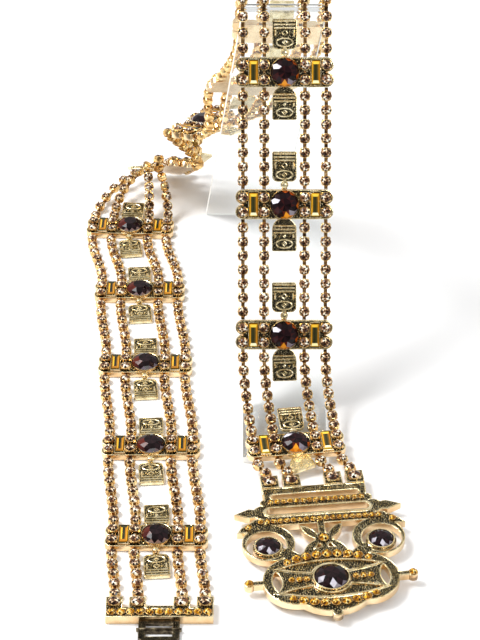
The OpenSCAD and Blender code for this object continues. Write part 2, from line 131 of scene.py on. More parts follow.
def makeGold(name, look):
    material, tree = newMaterial(name, Metallic=look["metallic"])
    patches = addNoise(tree, look["patchScale"], 4)
    scuffs = height = addNoise(tree, look["scuffScale"], 5, 0.65)
    if look["grainScale"]:
        height = addTexture(tree, "ShaderNodeTexVoronoi", "Distance", Scale=look["grainScale"])
    bumps = {"Height": height, "Strength": look["bump"], "Distance": look["bumpDepth"] * mm}
    feedShader(tree, Base_Color=addRamp(tree, patches, look["stops"]),
               Roughness=addRange(tree, scuffs, *look["roughness"]),
               Normal=fromNode(tree, "ShaderNodeBump", "Normal", bumps))
    return material


# What the clean golds share, and what the dirty ones share
clean = {"metallic": 1.0, "patchScale": 300, "scuffScale": 900, "grainScale": 0, "bump": 0.15,
         "bumpDepth": 0.05}
dirty = {"metallic": 0.9, "patchScale": 700, "scuffScale": 600, "grainScale": 1900, "bump": 0.8,
         "bumpDepth": 0.2}
golds = {
    "polished gold": {
        **clean, "patchScale": 90, "scuffScale": 700, "bump": 0.12, "roughness": (0.12, 0.28),
        "stops": [(0.3, (0.74, 0.48, 0.24)), (0.62, (0.98, 0.78, 0.50))]},
    "champagne gold": {
        **clean, "patchScale": 260, "grainScale": 1500, "bump": 0.3, "bumpDepth": 0.12,
        "roughness": (0.16, 0.36),
        "stops": [(0.3, (0.36, 0.29, 0.14)), (0.44, (0.76, 0.62, 0.34)), (0.66, (1.0, 0.89, 0.60))]},
    "chain gold": {
        **clean, "roughness": (0.14, 0.3),
        "stops": [(0.35, (0.26, 0.12, 0.04)), (0.5, (0.84, 0.54, 0.21)), (0.68, (1.0, 0.82, 0.46))]},
    # Tabs between the cups: painted shade, much darker than the cups' own gold where shade falls between them
    "tab gold": {
        **clean, "patchScale": 400, "roughness": (0.2, 0.4),
        "stops": [(0.38, (0.045, 0.02, 0.008)), (0.55, (0.26, 0.14, 0.05)), (0.75, (0.85, 0.58, 0.27))]},
    "blackened gold": {
        **dirty, "metallic": 0.85, "roughness": (0.35, 0.6),
        "stops": [(0.4, (0.008, 0.007, 0.004)), (0.6, (0.035, 0.028, 0.013)), (0.8, (0.2, 0.15, 0.07))]},
    "sooty gold": {
        **dirty, "roughness": (0.3, 0.5),
        "stops": [(0.42, (0.012, 0.010, 0.006)), (0.6, (0.06, 0.05, 0.026)), (0.76, (0.42, 0.34, 0.19))]},
    "dark bronze": {
        **dirty, "patchScale": 500, "scuffScale": 800, "grainScale": 1700, "bump": 0.5, "bumpDepth": 0.15,
        "roughness": (0.25, 0.5),
        "stops": [(0.35, (0.03, 0.022, 0.014)), (0.52, (0.11, 0.085, 0.055)), (0.7, (0.34, 0.28, 0.17))]},
}
metals = {name: makeGold(name, look) for name, look in golds.items()}
castFinishes = [metals["polished gold"], metals["champagne gold"], metals["blackened gold"]]


# A crystal's facets each carry their own tone, which picks their colour from the ramp. The tones paint the
# reflections the stone would show, and the bright end of each ramp is a painted glint.
def makeCrystal(name, look):
    material, tree = newMaterial(name, Coat_Weight=look["coat"], Coat_Roughness=0.02, IOR=1.58,
                                 Specular_IOR_Level=look["gloss"])
    tone, shade = (fromNode(tree, "ShaderNodeAttribute", "Fac", attribute_name=name)
                   for name in ("tone", "shade"))
    fleck = addNoise(tree, look["fleckScale"], 2)
    lifted = addMath(tree, "ADD", tone, addRange(tree, shade, -look["spread"], look["spread"]))
    total = addMath(tree, "ADD", lifted, addRange(tree, fleck, -look["fleck"], look["fleck"]), use_clamp=True)
    feedShader(tree, Base_Color=addRamp(tree, total, look["stops"]),
               Roughness=addRange(tree, fleck, *look["roughness"]))
    return material


crystalLooks = {
    "smoky crystal": {
        "coat": 0.05, "gloss": 0.25, "fleckScale": 900, "fleck": 0.08, "spread": 0.12,
        "roughness": (0.06, 0.16),
        "stops": [(0.0, (0.006, 0.002, 0.001)), (0.32, (0.032, 0.011, 0.004)), (0.52, (0.16, 0.062, 0.026)),
                  (0.7, (0.47, 0.26, 0.13)), (0.86, (0.92, 0.72, 0.46)), (1.0, (1.0, 0.97, 0.84))]},
    "dark topaz": {
        "coat": 0.0, "gloss": 0.13, "fleckScale": 500, "fleck": 0.02, "spread": 0.01,
        "roughness": (0.03, 0.08),
        "stops": [(0.0, (0.002, 0.001, 0.001)), (0.3, (0.017, 0.006, 0.008)), (0.45, (0.11, 0.014, 0.006)),
                  (0.6, (0.50, 0.09, 0.006)), (0.72, (1.0, 0.42, 0.03)), (0.8, (0.16, 0.13, 0.165)),
                  (1.0, (0.90, 0.87, 0.96))]},
    "amber": {
        "coat": 0.0, "gloss": 0.25, "fleckScale": 350, "fleck": 0.05, "spread": 0.04,
        "roughness": (0.04, 0.1),
        "stops": [(0.0, (0.010, 0.012, 0.004)), (0.22, (0.055, 0.05, 0.012)), (0.4, (0.50, 0.19, 0.008)),
                  (0.6, (0.88, 0.46, 0.02)), (0.8, (1.0, 0.76, 0.10)), (1.0, (1.0, 0.95, 0.6))]},
    "citrine": {
        "coat": 0.05, "gloss": 0.25, "fleckScale": 900, "fleck": 0.1, "spread": 0.1,
        "roughness": (0.04, 0.12),
        "stops": [(0.0, (0.025, 0.008, 0.001)), (0.3, (0.17, 0.055, 0.002)), (0.55, (0.66, 0.27, 0.006)),
                  (0.8, (1.0, 0.58, 0.03)), (1.0, (1.0, 0.84, 0.34))]},
}
crystals = {name: makeCrystal(name, look) for name, look in crystalLooks.items()}
print("materials made")


# Rows of the belt, each with its own axes, read from the frame's stones. Lengths are in millimetres.
rowSizes = {
    "baguetteUnderside": 2.45,     # over the bar's back
    "stoneUnderside": 2.55,        # of the buckle's large stone, over the casting's back
    "largeStoneBehind": 66,        # from the buckle's block row
    "endStonesBeyond": 6.1,        # from the end bar's block row
    "endStonesUnderside": 4.5,
    "halfBar": 7.15, "halfBlock": 4.15, "halfEndBlock": 3.7,
}
barCount = 13
flat, up = np.array([1, 1, 0]), np.array([0, 0, 1.0])


def unit(v):
    return v / np.linalg.norm(v)


def nodePoints(name):
    mesh = nodes[name].data
    points = np.empty(len(mesh.vertices) * 3)
    mesh.vertices.foreach_get("co", points)
    return points.reshape(-1, 3) / mm


def longAxis(points):
    centred = points - points.mean(axis=0)
    return np.linalg.eigh(centred.T @ centred)[1][:, 2]


def boxMiddle(points):
    return (points.min(axis=0) + points.max(axis=0)) / 2


def makeRow(place, across, along, half):
    return {"place": place, "across": across, "along": along, "face": np.cross(across, along), "half": half}


# A row that lies level, found from stones ahead of its blocks
def levelRow(points, across, ahead, underside, half):
    along = np.cross(up, across)
    place = points.mean(axis=0) + ahead * along
    place[2] = points[:, 2].min() - underside
    return makeRow(place, across, along, half)


def findBars():
    centres = np.array([nodePoints(f"stone_{i}").mean(axis=0) for i in range(1, barCount + 1)])
    sides = []
    for name in ("baguettes_left", "baguettes_right"):
        points = nodePoints(name)
        nearest = np.linalg.norm(points[:, None] - centres[None], axis=2).argmin(axis=1)
        sides.append([points[nearest == i] for i in range(barCount)])
    bars = []
    for centre, left, right in zip(centres, *sides):
        across = unit(boxMiddle(right) - boxMiddle(left))
        along = longAxis(np.vstack([left - left.mean(axis=0), right - right.mean(axis=0)]))
        face = unit(np.cross(across, along))
        if face @ (centre - (boxMiddle(left) + boxMiddle(right)) / 2) < 0:
            face = -face
        back = (left @ face).min() - rowSizes["baguetteUnderside"]
        middle = (left.mean(axis=0) + right.mean(axis=0)) / 2
        place = middle + (back - middle @ face) * face
        bars.append(makeRow(place, across, np.cross(face, across), rowSizes["halfBar"]))
    return bars


def findRows():
    bars = findBars()
    large, left, right = (nodePoints(f"buckle_stone_{name}") for name in ("large", "left", "right"))
    across = unit((right.mean(axis=0) - left.mean(axis=0)) * flat)
    first = levelRow(large, across, rowSizes["largeStoneBehind"], rowSizes["stoneUnderside"],
                     rowSizes["halfBlock"])
    ends = nodePoints("end_stones")
    across = unit(longAxis(ends) * flat)
    if np.cross(up, across) @ (ends.mean(axis=0) - bars[-1]["place"]) < 0:
        across = -across
    last = levelRow(ends, across, -rowSizes["endStonesBeyond"], rowSizes["endStonesUnderside"],
                    rowSizes["halfEndBlock"])
    return [first] + bars + [last]


rows = findRows()


# A point with its aim and face, as the placing tree takes them
def placing(point, way, out):
    aim = unit(way)
    side = unit(np.cross(aim, out))
    return point, aim, np.cross(side, aim)


def atRow(i, x, y, z):
    row = rows[i]
    return row["place"] + x * row["across"] + y * row["along"] + z * row["face"], row["along"], row["face"]


# Cup chain: each bay's curve, and the cups and tabs along it
chain = {
    "cupDiameter": 5.3, "cupHeight": 3.2, "pitch": 7.0, "offsets": (-19.9, -9.7, 9.7, 19.9),
    "tabWidth": 1.7, "tabHeight": 0.5, "tabThickness": 0.7, "stoneDiameter": 4.95, "stoneHeight": 1.25,
    "stoneSeat": 0.93,             # as a part of the cup's height
    "freeCups": [2] + [7] * 12 + [5], "closestStep": 5.5, "leastSpare": 0.3, "endRoom": 0.6, "humpRoom": 1.2,
    "pullPart": 0.42, "topBay": 4, "topPull": 4.5, "curveSteps": 24, "gap": 0.15,
}


def bezier(q, t):
    return (1 - t) ** 3 * q[0] + 3 * (1 - t) ** 2 * t * q[1] + 3 * (1 - t) * t * t * q[2] + t ** 3 * q[3]


def heading(q, t):
    return unit((1 - t) ** 2 * (q[1] - q[0]) + 2 * (1 - t) * t * (q[2] - q[1]) + t * t * (q[3] - q[2]))


def runTable(q):
    ts = np.linspace(0, 1, chain["curveSteps"] + 1)
    points = np.array([bezier(q, t) for t in ts])
    return np.concatenate([[0], np.cumsum(np.linalg.norm(np.diff(points, axis=0), axis=1))]), ts


def share(q, part):
    run, ts = runTable(q)
    return float(np.interp(part * run[-1], run, ts))


def bayFace(i, t):
    return unit((1 - t) * rows[i]["face"] + t * rows[i + 1]["face"])


def bayCurve(i, off):
    first, last = rows[i], rows[i + 1]
    cups = chain["freeCups"][i]
    a = first["place"] + first["across"] * off + first["along"] * first["half"]
    d = last["place"] + last["across"] * off - last["along"] * last["half"]
    chord = np.linalg.norm(d - a)
    pull = min(cups * chain["pitch"] / 3, chain["pullPart"] * chord)
    if i == chain["topBay"]:
        pull = chain["topPull"] * chain["pitch"]
    q = [a, a + first["along"] * pull, d - last["along"] * pull, d]
    spare = chain["pitch"] + (cups - 1) * chain["closestStep"] - runTable(q)[0][-1]
    slack = spare > chain["leastSpare"]
    hump = math.sqrt(3 * chord * (spare + 2 * chain["humpRoom"]) / 8) if slack else 0
    rise = hump * 4 / 3 * bayFace(i, 0.5)
    return [q[0], q[1] + rise, q[2] + rise, q[3]], hump


def stopShort(cup, edge, way):
    slant = np.linalg.norm(np.cross(unit(edge - cup), way))
    return edge - (chain["gap"] + (chain["tabHeight"] + chain["tabThickness"] + chain["gap"]) * slant) * way


def bayChain(i, off):
    q, hump = bayCurve(i, off)
    count = chain["freeCups"][i]
    end = (chain["pitch"] / 2 + chain["humpRoom" if hump > 0 else "endRoom"]) / runTable(q)[0][-1]
    ts = [share(q, end + k * (1 - 2 * end) / (count - 1)) for k in range(count)]
    cups = [placing(bezier(q, t), heading(q, t), bayFace(i, t)) for t in ts]
    links = [(bezier(q, s), bezier(q, t), bayFace(i, (s + t) / 2)) for s, t in zip(ts, ts[1:])]
    first, last = cups[0][0], cups[-1][0]
    links.append((first, stopShort(first, q[0], -rows[i]["along"]), rows[i]["face"]))
    links.append((last, stopShort(last, q[3], rows[i + 1]["along"]), rows[i + 1]["face"]))
    tabs = [placing(a, b - a, out) + (np.linalg.norm(b - a),) for a, b, out in links]
    return cups, tabs


# Corners of a level rectangle, anticlockwise
def rectangle(x0, y0, x1, y1, z, inset=0):
    return [(x0 + inset, y0 + inset, z), (x1 - inset, y0 + inset, z), (x1 - inset, y1 - inset, z),
            (x0 + inset, y1 - inset, z)]


# Points of an arc from one angle to another, in degrees
def arcPoints(x, y, r, start, end, steps):
    angles = [math.radians(start + (end - start) * k / steps) for k in range(steps + 1)]
    return [(x + r * math.cos(a), y + r * math.sin(a)) for a in angles]


def halfRound(steps):
    return [(math.cos(math.pi * k / steps), math.sin(math.pi * k / steps)) for k in range(steps + 1)]


# The loop, which runs anticlockwise, moved inward by the inset
def offsetLoop(loop, inset):
    moved = []
    loop = [p for k, p in enumerate(loop) if math.dist(p, loop[k - 1]) > 1e-4]
    count = len(loop)
    for k in range(count):
        before, here, after = (np.array(loop[(k + s) % count], float) for s in (-1, 0, 1))
        first, second = unit(here - before), unit(after - here)
        normals = np.array([-first[1], first[0]]), np.array([-second[1], second[0]])
        middle = normals[0] + normals[1]
        middle = unit(middle) if np.linalg.norm(middle) > 0 else normals[0]
        reach = min(1 / max(0.5, middle @ normals[0]), 1.6)
        moved.append(tuple(here + middle * inset * reach))
    return moved


# A mesh in the making, in millimetres, whose faces each have a finish and a tone. On a crystal the tone
# picks the facet's colour, painted reflections and glints included.
class Shape:
    def __init__(self):
        self.points, self.faces, self.finishes, self.tones = [], [], [], []

    def addPoints(self, points):
        start = len(self.points)
        self.points += [tuple(p) for p in points]
        return list(range(start, len(self.points)))

    def move(self, y, z):
        self.points = [(px, py + y, pz + z) for px, py, pz in self.points]

    def addFace(self, face, finish=0, tone=0.5):
        self.faces.append(tuple(face))
        self.finishes.append(finish)
        self.tones.append(tone)

    def addBand(self, low, high, finish):
        for j in range(len(low)):
            n = (j + 1) % len(low)
            self.addFace((low[j], low[n], high[n], high[j]), finish)

    # The finish is one number, or a list with a number for each band and perhaps one for the last face
    def addLoft(self, rings, finish=0, close=True):
        loops = [self.addPoints(ring) for ring in rings]
        finishes = finish if isinstance(finish, list) else [finish] * (len(rings) - 1)
        for low, high, paint in zip(loops, loops[1:], finishes):
            self.addBand(low, high, paint)
        if close:
            self.addFace(reversed(loops[0]), finishes[0])
            self.addFace(loops[-1], finishes[-1])

    def addLathe(self, profile, sides, finish=0, centre=(0, 0), flute=0.0, close=True):
        rings = []
        for r, z in profile:
            ring = []
            for k in range(sides):
                a = 2 * math.pi * k / sides
                reach = r + (flute if k % 2 else -flute)
                ring.append((centre[0] + reach * math.cos(a), centre[1] + reach * math.sin(a), z))
            rings.append(ring)
        self.addLoft(rings, finish, close)

    def addBox(self, low, high, bevel, finish=0):
        levels = (bevel, low[2]), (0, low[2] + bevel), (0, high[2] - bevel), (bevel, high[2])
        self.addLoft([rectangle(*low[:2], *high[:2], z, inset) for inset, z in levels], finish)

    def addDome(self, x, y, z, r, rise, sides, finish=0):
        arch = (1, -0.6), (1, 0), (0.72, 0.7), (0.25, 0.97)
        self.addLathe([(r * s, z + rise * h) for s, h in arch], sides, finish, (x, y))

    # Half-round rib of finish 1 that lies on the ground between two points
    def addRod(self, start, end, r):
        start, end = np.array(start, float), np.array(end, float)
        way = unit(end - start)
        side = np.array([-way[1], way[0], 0])
        rings = []
        for at, shrink in ((start - way * r * 0.5, 0.45), (start, 1), (end, 1), (end + way * r * 0.5, 0.45)):
            ring = [at + side * r * c * shrink + np.array([0, 0, r * s * shrink]) for c, s in halfRound(5)]
            ring += [at + side * r * shrink * turn - np.array([0, 0, r * 0.5]) for turn in (-1, 1)]
            rings.append(ring)
        self.addLoft(rings, 1)

    # Half-round wire of finish 1 along a closed path
    def addWire(self, path, z, r):
        path = [np.array(p, float) for p in path]
        count = len(path)
        loops = []
        for k in range(count):
            first, second = unit(path[k] - path[k - 1]), unit(path[(k + 1) % count] - path[k])
            way = unit(first + second)
            side = np.array([-way[1], way[0]]) / max(0.4, way @ first)
            ring = [(*(path[k] + side * r * c), z + r * h) for c, h in halfRound(4)]
            ring += [(*(path[k] - side * r), z - r), (*(path[k] + side * r), z - r)]
            loops.append(self.addPoints(ring))
        for low, high in zip(loops, loops[1:] + loops[:1]):
            self.addBand(low, high, 1)

    # Flat casting with a bevelled edge, a rim of finish 1 and a sunk ground of finish 2
    def addSlab(self, outline, high, rim, sink, bevel, side):
        levels = ((bevel * 0.6, 0), (0, bevel * 0.6), (0, high - bevel), (bevel * 0.35, high - bevel * 0.3),
                  (bevel, high), (rim, high), (rim + sink * 0.5, high - sink))
        rings = [[(x, y, z) for x, y in offsetLoop(outline, inset)] for inset, z in levels]
        self.addLoft(rings, [side, side, side, 1, 1, 1, 2])

    def makeObject(self, name, materials=()):
        mesh = bpy.data.meshes.new(name)
        mesh.from_pydata([Vector(p) for p in self.points], [], self.faces)
        for material in materials:
            mesh.materials.append(material)
        mesh.polygons.foreach_set("material_index", self.finishes)
        mesh.attributes.new("tone", "FLOAT", "FACE").data.foreach_set("value", self.tones)
        mesh.attributes.new("finish", "INT", "FACE").data.foreach_set("value", self.finishes)
        work = bmesh.new()
        work.from_mesh(mesh)
        faceOutward(work)
        work.to_mesh(mesh)
        work.free()
        return addObject(name, mesh)


def faceOutward(work):
    bmesh.ops.recalc_face_normals(work, faces=work.faces)
    if work.calc_volume(signed=True) < 0:
        bmesh.ops.reverse_faces(work, faces=work.faces)


# Geometry Nodes

def newTree(name, inputs):
    tree = bpy.data.node_groups.new(name, "GeometryNodeTree")
    for key, kind in {"Geometry": "Geometry", **inputs}.items():
        tree.interface.new_socket(key, in_out="INPUT", socket_type="NodeSocket" + kind)
    tree.interface.new_socket("Geometry", in_out="OUTPUT", socket_type="NodeSocketGeometry")
    return tree, addNode(tree, "NodeGroupInput").outputs


def addRandom(tree, low, high, seed):
    return fromNode(tree, "FunctionNodeRandomValue", 1, {2: low, 3: high, "Seed": seed}, data_type="FLOAT")


def addCompare(tree, source, number):
    return fromNode(tree, "FunctionNodeCompare", 0, {2: source, 3: number}, data_type="INT",
                    operation="EQUAL")


def addNamed(tree, name, kind):
    return fromNode(tree, "GeometryNodeInputNamedAttribute", 0, {"Name": name}, data_type=kind)


def addCopies(tree, points, item, rotation, scale):
    source = fromNode(tree, "GeometryNodeObjectInfo", "Geometry", {"Object": item, "As Instance": True})
    return fromNode(tree, "GeometryNodeInstanceOnPoints", 0,
                    {"Points": points, "Instance": source, "Rotation": rotation, "Scale": scale})


finishInputs = ("First finish", "Second finish", "Third finish")


# Sets an item on every point, turned by the point's aim and up vectors. Each face takes its number's finish.
def buildPlacingTree():
    numbers = {key: "Float" for key in ("Width", "Length", "Height", "Spin")}
    tree, given = newTree("set on points", {"Item": "Object", **numbers, "Seed": "Int",
                                            **{key: "Material" for key in finishInputs}})
    axes = {"Primary Axis": addNamed(tree, "up", "FLOAT_VECTOR"),
            "Secondary Axis": addNamed(tree, "aim", "FLOAT_VECTOR")}
    stood = fromNode(tree, "FunctionNodeAxesToRotation", 0, axes, primary_axis="Z", secondary_axis="Y")
    angle = addMath(tree, "MULTIPLY", addRandom(tree, -1.0, 1.0, given["Seed"]), given["Spin"])
    turn = fromNode(tree, "FunctionNodeAxisAngleToRotation", 0, {"Axis": (0, 0, 1), "Angle": angle})
    turned = fromNode(tree, "FunctionNodeRotateRotation", 0, {"Rotation": stood, "Rotate By": turn},
                      rotation_space="LOCAL")
    sizes = fromNode(tree, "ShaderNodeCombineXYZ", 0,
                     {"X": given["Width"], "Y": given["Length"], "Z": given["Height"]})
    scale = fromNode(tree, "ShaderNodeVectorMath", 0, {0: sizes, 1: addNamed(tree, "size", "FLOAT_VECTOR")},
                     operation="MULTIPLY")
    placed = addCopies(tree, given["Geometry"], given["Item"], turned, scale)
    shade = addRandom(tree, 0.0, 1.0, given["Seed"])
    shaded = fromNode(tree, "GeometryNodeStoreNamedAttribute", 0,
                      {"Geometry": placed, "Name": "shade", "Value": shade}, data_type="FLOAT",
                      domain="INSTANCE")
    real = fromNode(tree, "GeometryNodeRealizeInstances", 0, {"Geometry": shaded})
    number = addNamed(tree, "finish", "INT")
    for k, key in enumerate(finishInputs):
        real = fromNode(tree, "GeometryNodeSetMaterial", 0,
                        {"Geometry": real, "Selection": addCompare(tree, number, k), "Material": given[key]})
    addNode(tree, "NodeGroupOutput", {0: real})
    return tree


# Scatters grains over the faces of one material slot, each its own size
def buildGrainTree():
    numbers = {key: "Float" for key in ("Spacing", "Smallest", "Largest")}
    tree, given = newTree("scatter grains", {"Grain": "Object", "Slot": "Int", **numbers, "Seed": "Int",
                                             "Finish": "Material"})
    slot = fromNode(tree, "GeometryNodeInputMaterialIndex", 0)
    density = addMath(tree, "DIVIDE", 4.0, addMath(tree, "POWER", given["Spacing"], 2.0))
    points = addNode(tree, "GeometryNodeDistributePointsOnFaces",
                     {"Mesh": given["Geometry"], "Selection": addCompare(tree, slot, given["Slot"]),
                      "Distance Min": given["Spacing"], "Density Max": density, "Seed": given["Seed"]},
                     distribute_method="POISSON").outputs
    size = addRandom(tree, given["Smallest"], given["Largest"], given["Seed"])
    placed = addCopies(tree, points["Points"], given["Grain"], points["Rotation"], size)
    real = fromNode(tree, "GeometryNodeRealizeInstances", 0, {"Geometry": placed})
    painted = fromNode(tree, "GeometryNodeSetMaterial", 0, {"Geometry": real, "Material": given["Finish"]})
    addNode(tree, "NodeGroupOutput", {0: painted})
    return tree


placingTree, grainTree = buildPlacingTree(), buildGrainTree()


# The evaluated object as a plain mesh in a new object, with the old one removed
def plainMesh(item):
    bpy.context.view_layer.update()
    evaluated = item.evaluated_get(bpy.context.evaluated_depsgraph_get())
    mesh = bpy.data.meshes.new_from_object(evaluated)
    name = item.name
    bpy.data.objects.remove(item)
    return addObject(name, mesh)


def runTree(item, tree, given):
    modifier = item.modifiers.new("tree", "NODES")
    modifier.node_group = tree
    for socket in tree.interface.items_tree:
        if socket.name in given and socket.in_out == "INPUT":
            modifier[socket.identifier] = given[socket.name]
    return plainMesh(item)


# places holds (point, aim, up) or (point, aim, up, size) rows in millimetres
def setOnPoints(name, places, item, finishes, width=1.0, length=1.0, height=1.0, spin=0.0, seed=1):
    mesh = bpy.data.meshes.new(name)
    mesh.from_pydata([Vector(p[0]) * mm for p in places], [], [])
    values = {"aim": [p[1] for p in places], "up": [p[2] for p in places],
              "size": [p[3] if len(p) > 3 else (1, 1, 1) for p in places]}
    for key, vectors in values.items():
        mesh.attributes.new(key, "FLOAT_VECTOR", "POINT").data.foreach_set("vector", np.ravel(vectors))
    finishes = list(finishes) + [finishes[-1]] * (3 - len(finishes))
    given = {"Item": item, "Width": width * mm, "Length": length * mm, "Height": height * mm, "Spin": spin,
             "Seed": seed, **dict(zip(finishInputs, finishes))}
    return runTree(addObject(name, mesh), placingTree, given)


# The item, in units of the given size, with grains on the faces of its ground slot
def granulate(item, look, seed, size=1.0):
    copy = addObject(item.name + " grains", item.data.copy())
    for name in [a.name for a in copy.data.attributes if a.name in ("tone", "finish")]:
        copy.data.attributes.remove(copy.data.attributes[name])
    given = {key: look[key.lower()] * size for key in ("Spacing", "Smallest", "Largest")}
    given |= {"Grain": grain, "Slot": 2, "Seed": seed, "Finish": look["grainFinish"]}
    return joinPieces(item.name, [item, runTree(copy, grainTree, given)])


def joinPieces(name, pieces):
    if len(pieces) > 1:
        with bpy.context.temp_override(active_object=pieces[0], object=pieces[0], selected_objects=pieces,
                                       selected_editable_objects=pieces):
            bpy.ops.object.join()
    pieces[0].name = pieces[0].data.name = name
    return pieces[0]


# Joins the parts of a piece, smooths round faces, keeps facets flat and hands the piece over to the frame
def finishPiece(name, parts, replaced, sharp=35):
    piece = joinPieces(name, parts)
    mesh = piece.data
    indices = [p.material_index for p in mesh.polygons]
    used = sorted(set(indices))
    kept = [mesh.materials[k] for k in used]
    mesh.materials.clear()
    for material in kept:
        mesh.materials.append(material)
    mesh.polygons.foreach_set("material_index", [used.index(k) for k in indices])
    mesh.set_sharp_from_angle(angle=math.radians(sharp))
    faceted = [m.name in crystals for m in mesh.materials]
    mesh.polygons.foreach_set("use_smooth", [not faceted[p.material_index] for p in mesh.polygons])
    mesh.update()
    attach(piece, "root")
    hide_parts(*replaced)
    print(piece.name, len(mesh.polygons), "faces")


def discard(*items):
    for item in items:
        bpy.data.objects.remove(item)


# Cup, tab, bezel, stone and grain, each one unit across and one unit high
cupShape = {
    "sides": 10, "wall": [(0.41, 0.0), (0.5, 0.4), (0.5, 0.94), (0.45, 1.0)], "prongs": 4,
    "prongFoot": (0.55, 0.42, 0.55, 0.24),     # outer and inner reach, height and width
    "prongTop": (0.45, 0.35, 1.14, 0.15),
}
smallShapes = {
    "bezel": [(0.45, 0.0), (0.5, 0.5), (0.49, 0.95), (0.45, 1.0), (0.42, 0.8)], "bezelSides": 12,
    "grain": [(0.5, -0.1), (0.3, 0.4)], "grainSides": 5,
    "stone": [(0.5, 0.0), (0.41, 0.42), (0.25, 0.9)], "stoneSides": 8, "stoneBelly": 0.35,
}


def makeCup():
    shape = Shape()
    shape.addLathe(cupShape["wall"], cupShape["sides"])
    for k in range(cupShape["prongs"]):
        a = math.pi / 4 + 2 * math.pi * k / cupShape["prongs"]
        way, side = np.array([math.cos(a), math.sin(a), 0]), np.array([-math.sin(a), math.cos(a), 0])
        rings = []
        for outside, inside, z, wide in (cupShape["prongFoot"], cupShape["prongTop"]):
            corners = (outside, -1), (outside, 1), (inside, 1), (inside, -1)
            rings.append([way * r + side * wide / 2 * turn + np.array([0, 0, z]) for r, turn in corners])
        shape.addLoft(rings)
    return shape.makeObject("cup")


# Lathed shapes. A grain is of finish 1 wherever it is set.
def makeLathed(name, finish):
    shape = Shape()
    shape.addLathe(smallShapes[name], smallShapes[name + "Sides"], finish)
    return shape.makeObject(name)


def makeTab():
    shape = Shape()
    shape.addLoft([rectangle(-0.5, 0, 0.5, 1, z) for z in (0, 1)])
    return shape.makeObject("tab")


# Faceted crown over a girdle: each level's points are turned by half a facet from the last
def makeRound(name, sides, rings, tones, belly, seed):
    rng = random.Random(seed)
    shape = Shape()
    step = 2 * math.pi / sides

    def ring(r, z, half):
        return shape.addPoints([(r * math.cos(step * (k + half / 2)), r * math.sin(step * (k + half / 2)), z)
                                for k in range(sides)])

    def addFacet(face, place, level):
        shape.addFace(face, 0, tones(math.degrees(2 * math.pi * place / sides) % 360, level, rng))

    (girdleR, girdleZ), (midR, midZ), (tableR, tableZ) = rings
    base, girdle = ring(girdleR, girdleZ - belly, 0), ring(girdleR, girdleZ, 0)
    middle, table = ring(midR, midZ, 1), ring(tableR, tableZ, 0)
    centre = shape.addPoints([(0, 0, tableZ)])[0]
    for k in range(sides):
        n, b = (k + 1) % sides, (k - 1) % sides
        addFacet((base[k], base[n], girdle[n], girdle[k]), k + 0.5, 0)
        addFacet((girdle[k], girdle[n], middle[k]), k + 0.5, 1)
        addFacet((middle[b], girdle[k], middle[k], table[k]), k, 2)
        addFacet((middle[k], table[n], table[k]), k + 0.5, 3)
        addFacet((table[k], table[n], centre), k + 0.5, 4)
    shape.addFace(reversed(base), 0, 0)
    return shape.makeObject(name)


# Painted reflections and glints on a small stone: more than half of its facets are dark, a quarter of
# middle tone and the rest bright painted glints
def paintedGlintTone(degrees, level, rng):
    low, high = rng.choices([(0.0, 0.3), (0.4, 0.68), (0.8, 1.0)], [0.56, 0.28, 0.16])[0]
    return rng.uniform(low, high)


cup, tab, bezel, grain = makeCup(), makeTab(), makeLathed("bezel", 0), makeLathed("grain", 1)
sparkle = makeRound("sparkle", smallShapes["stoneSides"], smallShapes["stone"], paintedGlintTone,
                    smallShapes["stoneBelly"], seeds["stone"])


# Cups with their stones at places, as two pieces
def cupsAt(name, places, height, seed, size=1.0):
    wide = chain["cupDiameter"] * size
    cups = setOnPoints(name + " cups", places, cup, [metals["chain gold"]], wide, wide, height, seed=seed)
    tops = [(p[0] + p[2] * height * chain["stoneSeat"], p[1], p[2]) for p in places]
    wide = chain["stoneDiameter"] * size
    stones = setOnPoints(name + " stones", tops, sparkle, [crystals["smoky crystal"]], wide, wide,
                         chain["stoneHeight"], spin=math.pi, seed=seed + 10)
    return [cups, stones]


def makeStrand(s):
    cups, tabs = [], []
    for i in range(len(rows) - 1):
        someCups, someTabs = bayChain(i, chain["offsets"][s])
        cups += someCups
        tabs += someTabs
    tabPlaces = [(a + z * chain["tabHeight"], y, z, (1, length, 1)) for a, y, z, length in tabs]
    pieces = cupsAt(f"strand {s}", cups, chain["cupHeight"], seeds["strands"] + s)
    pieces.append(setOnPoints("tabs", tabPlaces, tab, [metals["tab gold"]], chain["tabWidth"], 1.0,
                              chain["tabThickness"]))
    finishPiece(f"cupChain_{s + 1}", pieces, [f"strand_{s + 1}"])


for s in range(len(chain["offsets"])):
    makeStrand(s)
print("cup chain made")


# Station bars: a slab with lobed ends, a fluted collet, two baguette boxes, eight chatons and a post
bar = {
    "length": 14.3, "thickness": 3.2, "lobe": 3.6, "rim": 0.55, "sink": 0.3, "bevel": 0.25,
    "collet": [(6.9, 0.15), (7.2, 0.6), (7.2, 3.7), (7.08, 4.4), (6.9, 4.7), (6.75, 4.6), (6.75, 2.5)],
    "flutes": 28, "fluteDepth": 0.07,
    "boxWidth": 5.0, "boxLength": 12.7, "boxFoot": 2.6, "boxTop": 4.2, "boxRound": 0.15, "boxWall": 0.28,
    "boxFloor": 2.3, "chatonBase": 3.0, "chatonHeight": 1.8, "bead": 0.85, "beadRise": 1.3,
    "postReach": 9.35, "post": [(0.4, 0.2), (0.4, 3.5), (1.25, 3.5), (1.25, 3.7), (0.8, 3.9)],
    "ledge": 2.6, "ledgeThickness": 0.35, "ledgeStart": 0.5, "ledgeBeyond": 0.6, "ledgeBevel": 0.08,
    "spacing": 1.0, "smallest": 0.6, "largest": 1.0, "grainFinish": metals["champagne gold"],
}
outer, inner = chain["offsets"][3], chain["offsets"][2]
baguetteX = (outer + inner) / 2


def barOutline():
    r = bar["lobe"]
    y = bar["length"] / 2 - r
    notch = math.degrees(math.asin(y / r))
    right = arcPoints(outer, -y, r, -90, notch, 10) + arcPoints(outer, y, r, -notch, 90, 10)
    return right + [(-px, -py) for px, py in right]


